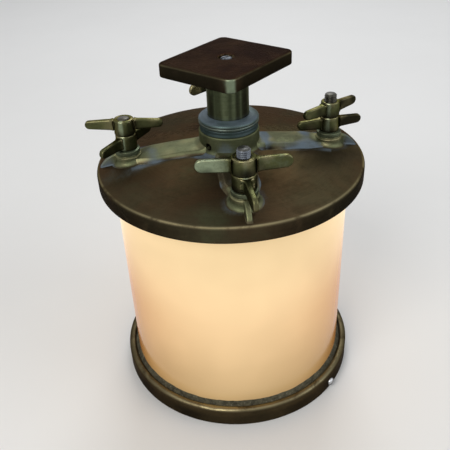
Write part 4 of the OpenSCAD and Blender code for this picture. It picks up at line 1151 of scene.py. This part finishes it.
class LAMP_OT_glazing(Operator):
    """Base ring, putty, glass and the ring over the glass"""

    bl_idname = "lamp.glazing"
    bl_label = "Base ring, putty and glass"

    def execute(self, context):
        lip = GLASS_IN_R - 1.5
        bore = lip - 2.0
        section = rounded([[bore, 0], [BASE_R, 0], [BASE_R, BASE_H], [LIP_IN_R, BASE_H], [LIP_IN_R, FLOOR_Z],
                           [lip, FLOOR_Z], [lip, FLOOR_Z + 4], [bore, FLOOR_Z + 4]],
                          [0.4, 0.8, 3.1, 2.6, 0.3, 0.3, 0.5, 0.5], 7)
        grid = turned(finer(section, 1.6))
        a = np.arctan2(grid[..., 1], grid[..., 0])
        r = np.hypot(grid[..., 0], grid[..., 1])
        # Each nick in the lip: its angle and half its width in radians, and its depth
        nicks = ((-1.9, 0.03, 0.5), (-1.2, 0.02, 0.35), (-0.65, 0.04, 0.45), (0.4, 0.03, 0.4), (2.6, 0.05, 0.5),
                 (3.9 - 2 * np.pi, 0.03, 0.4))
        nick = sum(deep * bell(a, where, wide) for where, wide, deep in nicks)
        grid[..., 2] -= nick * bell(grid[..., 2], BASE_H, 1.6) * (r > LIP_IN_R + 1)
        grid[..., :2] *= (1 - (0.06 + 0.06 * waves(grid, 45, 51)) * (r > LIP_IN_R) / r)[..., None]
        make_piece("foot_ring", [(grid, True, True)], "base", "lamp_body", ["base_ring"],
                   {"wear_and_highlight": self.lip_wear_and_highlight, "bloom": self.foot_bloom, "dirt_and_shade": self.foot_painted_shade}, 45.0)
        self.putty()
        section = rounded([[GLASS_IN_R, GLASS_LOW], [GLASS_R, GLASS_LOW], [GLASS_R, GLASS_TOP],
                           [GLASS_IN_R, GLASS_TOP]], [0.8] * 4, 4)
        make_piece("opal_cylinder", [lathe(section, 8.0)], "opal", "lamp_body", ["glass"], sharp=45.0)
        self.base_screws()
        dress(base_plate="ring", upper_putty="putty", top_ring="ring", stud_lock_nuts="washer",
              cover_gasket="rubber", cable_bush="rubber")
        return {"FINISHED"}

    @staticmethod
    def from_front(p):
        """One at the front, and less further round."""
        return bell(np.arctan2(p.x, -p.y), 0, 0.9)

    @classmethod
    def lip_wear_and_highlight(cls, p):
        """The lip's top: worn all round, and with a painted highlight that is strongest at the front."""
        top = bell(p.z, BASE_H, 1.2) * (p.r > LIP_IN_R)
        return unit(top * (0.15 + 0.95 * cls.from_front(p)) * (0.8 + 0.5 * p.waves(40, 52)))

    @classmethod
    def foot_painted_shade(cls, p):
        """Painted shade low on the outside, and all round the lip away from the lit front."""
        foot = unit((BASE_H - 4.0 - p.z) / 5.0) * (p.r > LIP_IN_R)
        return np.clip(0.6 * foot + 0.8 * (1 - cls.from_front(p)), 0, 0.9) * (0.8 + 0.3 * p.waves(30, 54))

    @staticmethod
    def foot_bloom(p):
        """Inside the lip, and a trace elsewhere."""
        return unit(0.6 * (p.r < LIP_IN_R + 1) + 0.1 + 0.2 * p.waves(50, 53))

    @staticmethod
    def putty():
        """Putty in the channel: a slope from the lip up the glass, hollowed a little and lumpy. The lumps are
        waves of three lengths, added to the height."""
        gap = 0.02
        bed, outer, inner, under = FLOOR_Z + gap, LIP_IN_R + gap, GLASS_IN_R - gap, GLASS_IN_R - 1.45
        r = np.linspace(outer, GLASS_R + gap, 16)
        k = (r - r[-1]) / (r[0] - r[-1])
        top = BASE_H - 2.0 + (PUTTY_TOP - BASE_H + 2.0) * (1 - k) ** 1.3 - 0.5 * np.sin(np.pi * k)
        rest = np.array([[GLASS_R + gap, GLASS_LOW], [inner, GLASS_LOW - gap], [inner, GLASS_LOW + 1.6],
                         [under, GLASS_LOW + 0.8], [under, bed], [outer, bed]])
        grid = turned(finer(np.concatenate([np.stack([r, top], -1), rest]), 2.0), 256)
        free = (grid[..., 2] > BASE_H - 2.6) & (np.hypot(grid[..., 0], grid[..., 1]) > GLASS_R - 0.1)
        lumps = 0.55 * waves(grid, 16, 61) + 0.28 * waves(grid, 6, 62) + 0.14 * waves(grid, 3, 63)
        grid[..., 2] += np.where(free, lumps - 0.2, 0)
        make_piece("bedding_putty", [(grid, True, True)], "putty", "lamp_body", ["lower_putty"], sharp=60.0)

    @staticmethod
    def base_screws():
        """Two slotted pan-head screws, pointing outwards at 45 degrees to the studs. tilt turns a slot."""
        shells = []
        for turn, tilt in ((-45, 15), (135, 70)):
            c, s = math.cos(math.radians(tilt)), math.sin(math.radians(tilt))
            x, y, z = np.moveaxis(slotted_head(radius=3.7, tall=2.5, slot=0.55, deep=1.2), -1, 0)
            head = np.stack([x + BASE_R - 0.05, y * c - z * s, y * s + z * c + SCREW_Z], -1)
            shells.append((placed(head, turn=turn), True, False))
            shells.append(lying(rod(1.98, 86.6, BASE_R), turn, SCREW_Z, 24))
        make_piece("foot_screws", shells, "bright", "lamp_body", ["base_screws"])


class LAMP_OT_inside(Operator):
    """Bulb, lampholder, bracket, terminals and wires"""

    bl_idname = "lamp.inside"
    bl_label = "Bulb and lampholder"

    def execute(self, context):
        dress(holder_bracket="zinc", bracket_screws="bright", terminal_block="ivory", inner_wires="wire",
              lampholder="porcelain", holder_shell="gold", holder_contact="gold", bulb_cap="zinc",
              bulb_envelope="bulb")
        return {"FINISHED"}


class LAMP_OT_stage(Operator):
    """Plain floor, soft lights, pale surroundings and the camera at the photograph's angle"""

    bl_idname = "lamp.stage"
    bl_label = "Stage"

    # Each light: name, place, width, watts, tint
    LIGHTS = (("key", (-0.9, -1.1, 1.5), 0.9, 16.0, (1.0, 0.97, 0.92)),
              ("fill", (1.3, -0.6, 1.0), 1.0, 6.0, (0.92, 0.96, 1.0)),
              ("back", (0.3, 1.4, 1.5), 0.8, 12.0, (0.95, 0.97, 1.0)))
    CAMERA_AT, CAMERA_AHEAD, CAMERA_ROLL = (-0.0511, -0.4570, 0.4413), (0.0801, 0.8323, -0.5484), 0.0485

    def execute(self, context):
        context.scene.view_settings.view_transform = "Standard"
        mesh = bpy.data.meshes.new("floor")
        mesh.from_pydata([(-6, -6, 0), (6, -6, 0), (6, 6, 0), (-6, 6, 0)], [], [(0, 1, 2, 3)])
        mesh.materials.append(plain("floor_paint", tuple(colours().floor), 0.6, 3.0, 0.02, 0.0))
        floor = added("floor", mesh)
        floor.location.z = -0.0001
        self.surroundings(context.scene)
        for light in self.LIGHTS:
            self.lamp(*light)
        camera = added("camera", bpy.data.cameras.new("camera"))
        context.scene.camera = camera
        camera.data.lens, camera.data.sensor_width = 48.74, 36.0
        camera.data.clip_start, camera.data.clip_end = 0.01, 50.0
        ahead = Vector(self.CAMERA_AHEAD).normalized()
        right = ahead.cross(Vector((0, 0, 1))).normalized()
        up = right.cross(ahead).normalized()
        c, s = math.cos(self.CAMERA_ROLL), math.sin(self.CAMERA_ROLL)
        turn = Matrix((right * c - up * s, right * s + up * c, -ahead)).transposed().to_4x4()
        camera.matrix_world = Matrix.Translation(Vector(self.CAMERA_AT)) @ turn
        return {"FINISHED"}

    @staticmethod
    def surroundings(scene):
        """A pale background where the camera, reflections and glass see it, and a dimmer light elsewhere."""
        scene.world = world = bpy.data.worlds.new("studio")
        world.use_nodes = True
        world.node_tree.nodes.clear()
        w = Wiring(world.node_tree)
        path = w.new("ShaderNodeLightPath").outputs
        reflected = w.math("MAXIMUM", path["Is Glossy Ray"], path["Is Transmission Ray"])
        shown = w.new("ShaderNodeBackground", {"Color": (0.80, 0.80, 0.81), "Strength": 1.0})
        lit = w.new("ShaderNodeBackground", {"Color": (0.93, 0.96, 1.0), "Strength": 0.45})
        both = w.new("ShaderNodeMixShader", {0: w.math("MAXIMUM", path["Is Camera Ray"], reflected),
                                             1: lit.outputs[0], 2: shown.outputs[0]})
        w.new("ShaderNodeOutputWorld", {"Surface": both.outputs[0]})

    @staticmethod
    def lamp(name, place, wide, watts, tint):
        """A square area light that points at the middle of the object."""
        data = bpy.data.lights.new(name, "AREA")
        data.shape, data.size, data.energy, data.color = "SQUARE", wide, watts, tint
        light = added(name, data)
        light.location = place
        light.rotation_euler = (Vector((0, 0, 0.15)) - Vector(place)).to_track_quat("-Z", "Y").to_euler()


class LAMP_PT_panel(Panel):
    """Lists the lamp's pieces, sizes and colours"""

    bl_idname = "LAMP_PT_panel"
    bl_label = "Passageway Lamp"
    bl_space_type = "VIEW_3D"
    bl_region_type = "UI"
    bl_category = "Passageway Lamp"

    def draw(self, context):
        column = self.layout.column()
        for operator in OPERATORS:
            column.operator(operator.bl_idname)
        for group in (context.scene.lamp_sizes, context.scene.lamp_colours):
            box = self.layout.box().column()
            for key in group.__annotations__:
                box.prop(group, key)


OPERATORS = (LAMP_OT_cover, LAMP_OT_fastenings, LAMP_OT_stem, LAMP_OT_glazing, LAMP_OT_inside, LAMP_OT_stage)
CLASSES = (LampSizes, LampColours, *OPERATORS, LAMP_PT_panel)


def register():
    """Makes the properties, the operators and the panel known to Blender."""
    for item in CLASSES:
        bpy.utils.register_class(item)
    bpy.types.Scene.lamp_sizes = PointerProperty(type=LampSizes)
    bpy.types.Scene.lamp_colours = PointerProperty(type=LampColours)


def unregister():
    """Takes back what register has done."""
    del bpy.types.Scene.lamp_colours
    del bpy.types.Scene.lamp_sizes
    for item in reversed(CLASSES):
        bpy.utils.unregister_class(item)


def main():
    """Builds the whole model."""
    register()
    make_finishes()
    for operator in OPERATORS:
        group, name = operator.bl_idname.split(".")
        getattr(getattr(bpy.ops, group), name)()


if __name__ == "__main__":
    main()
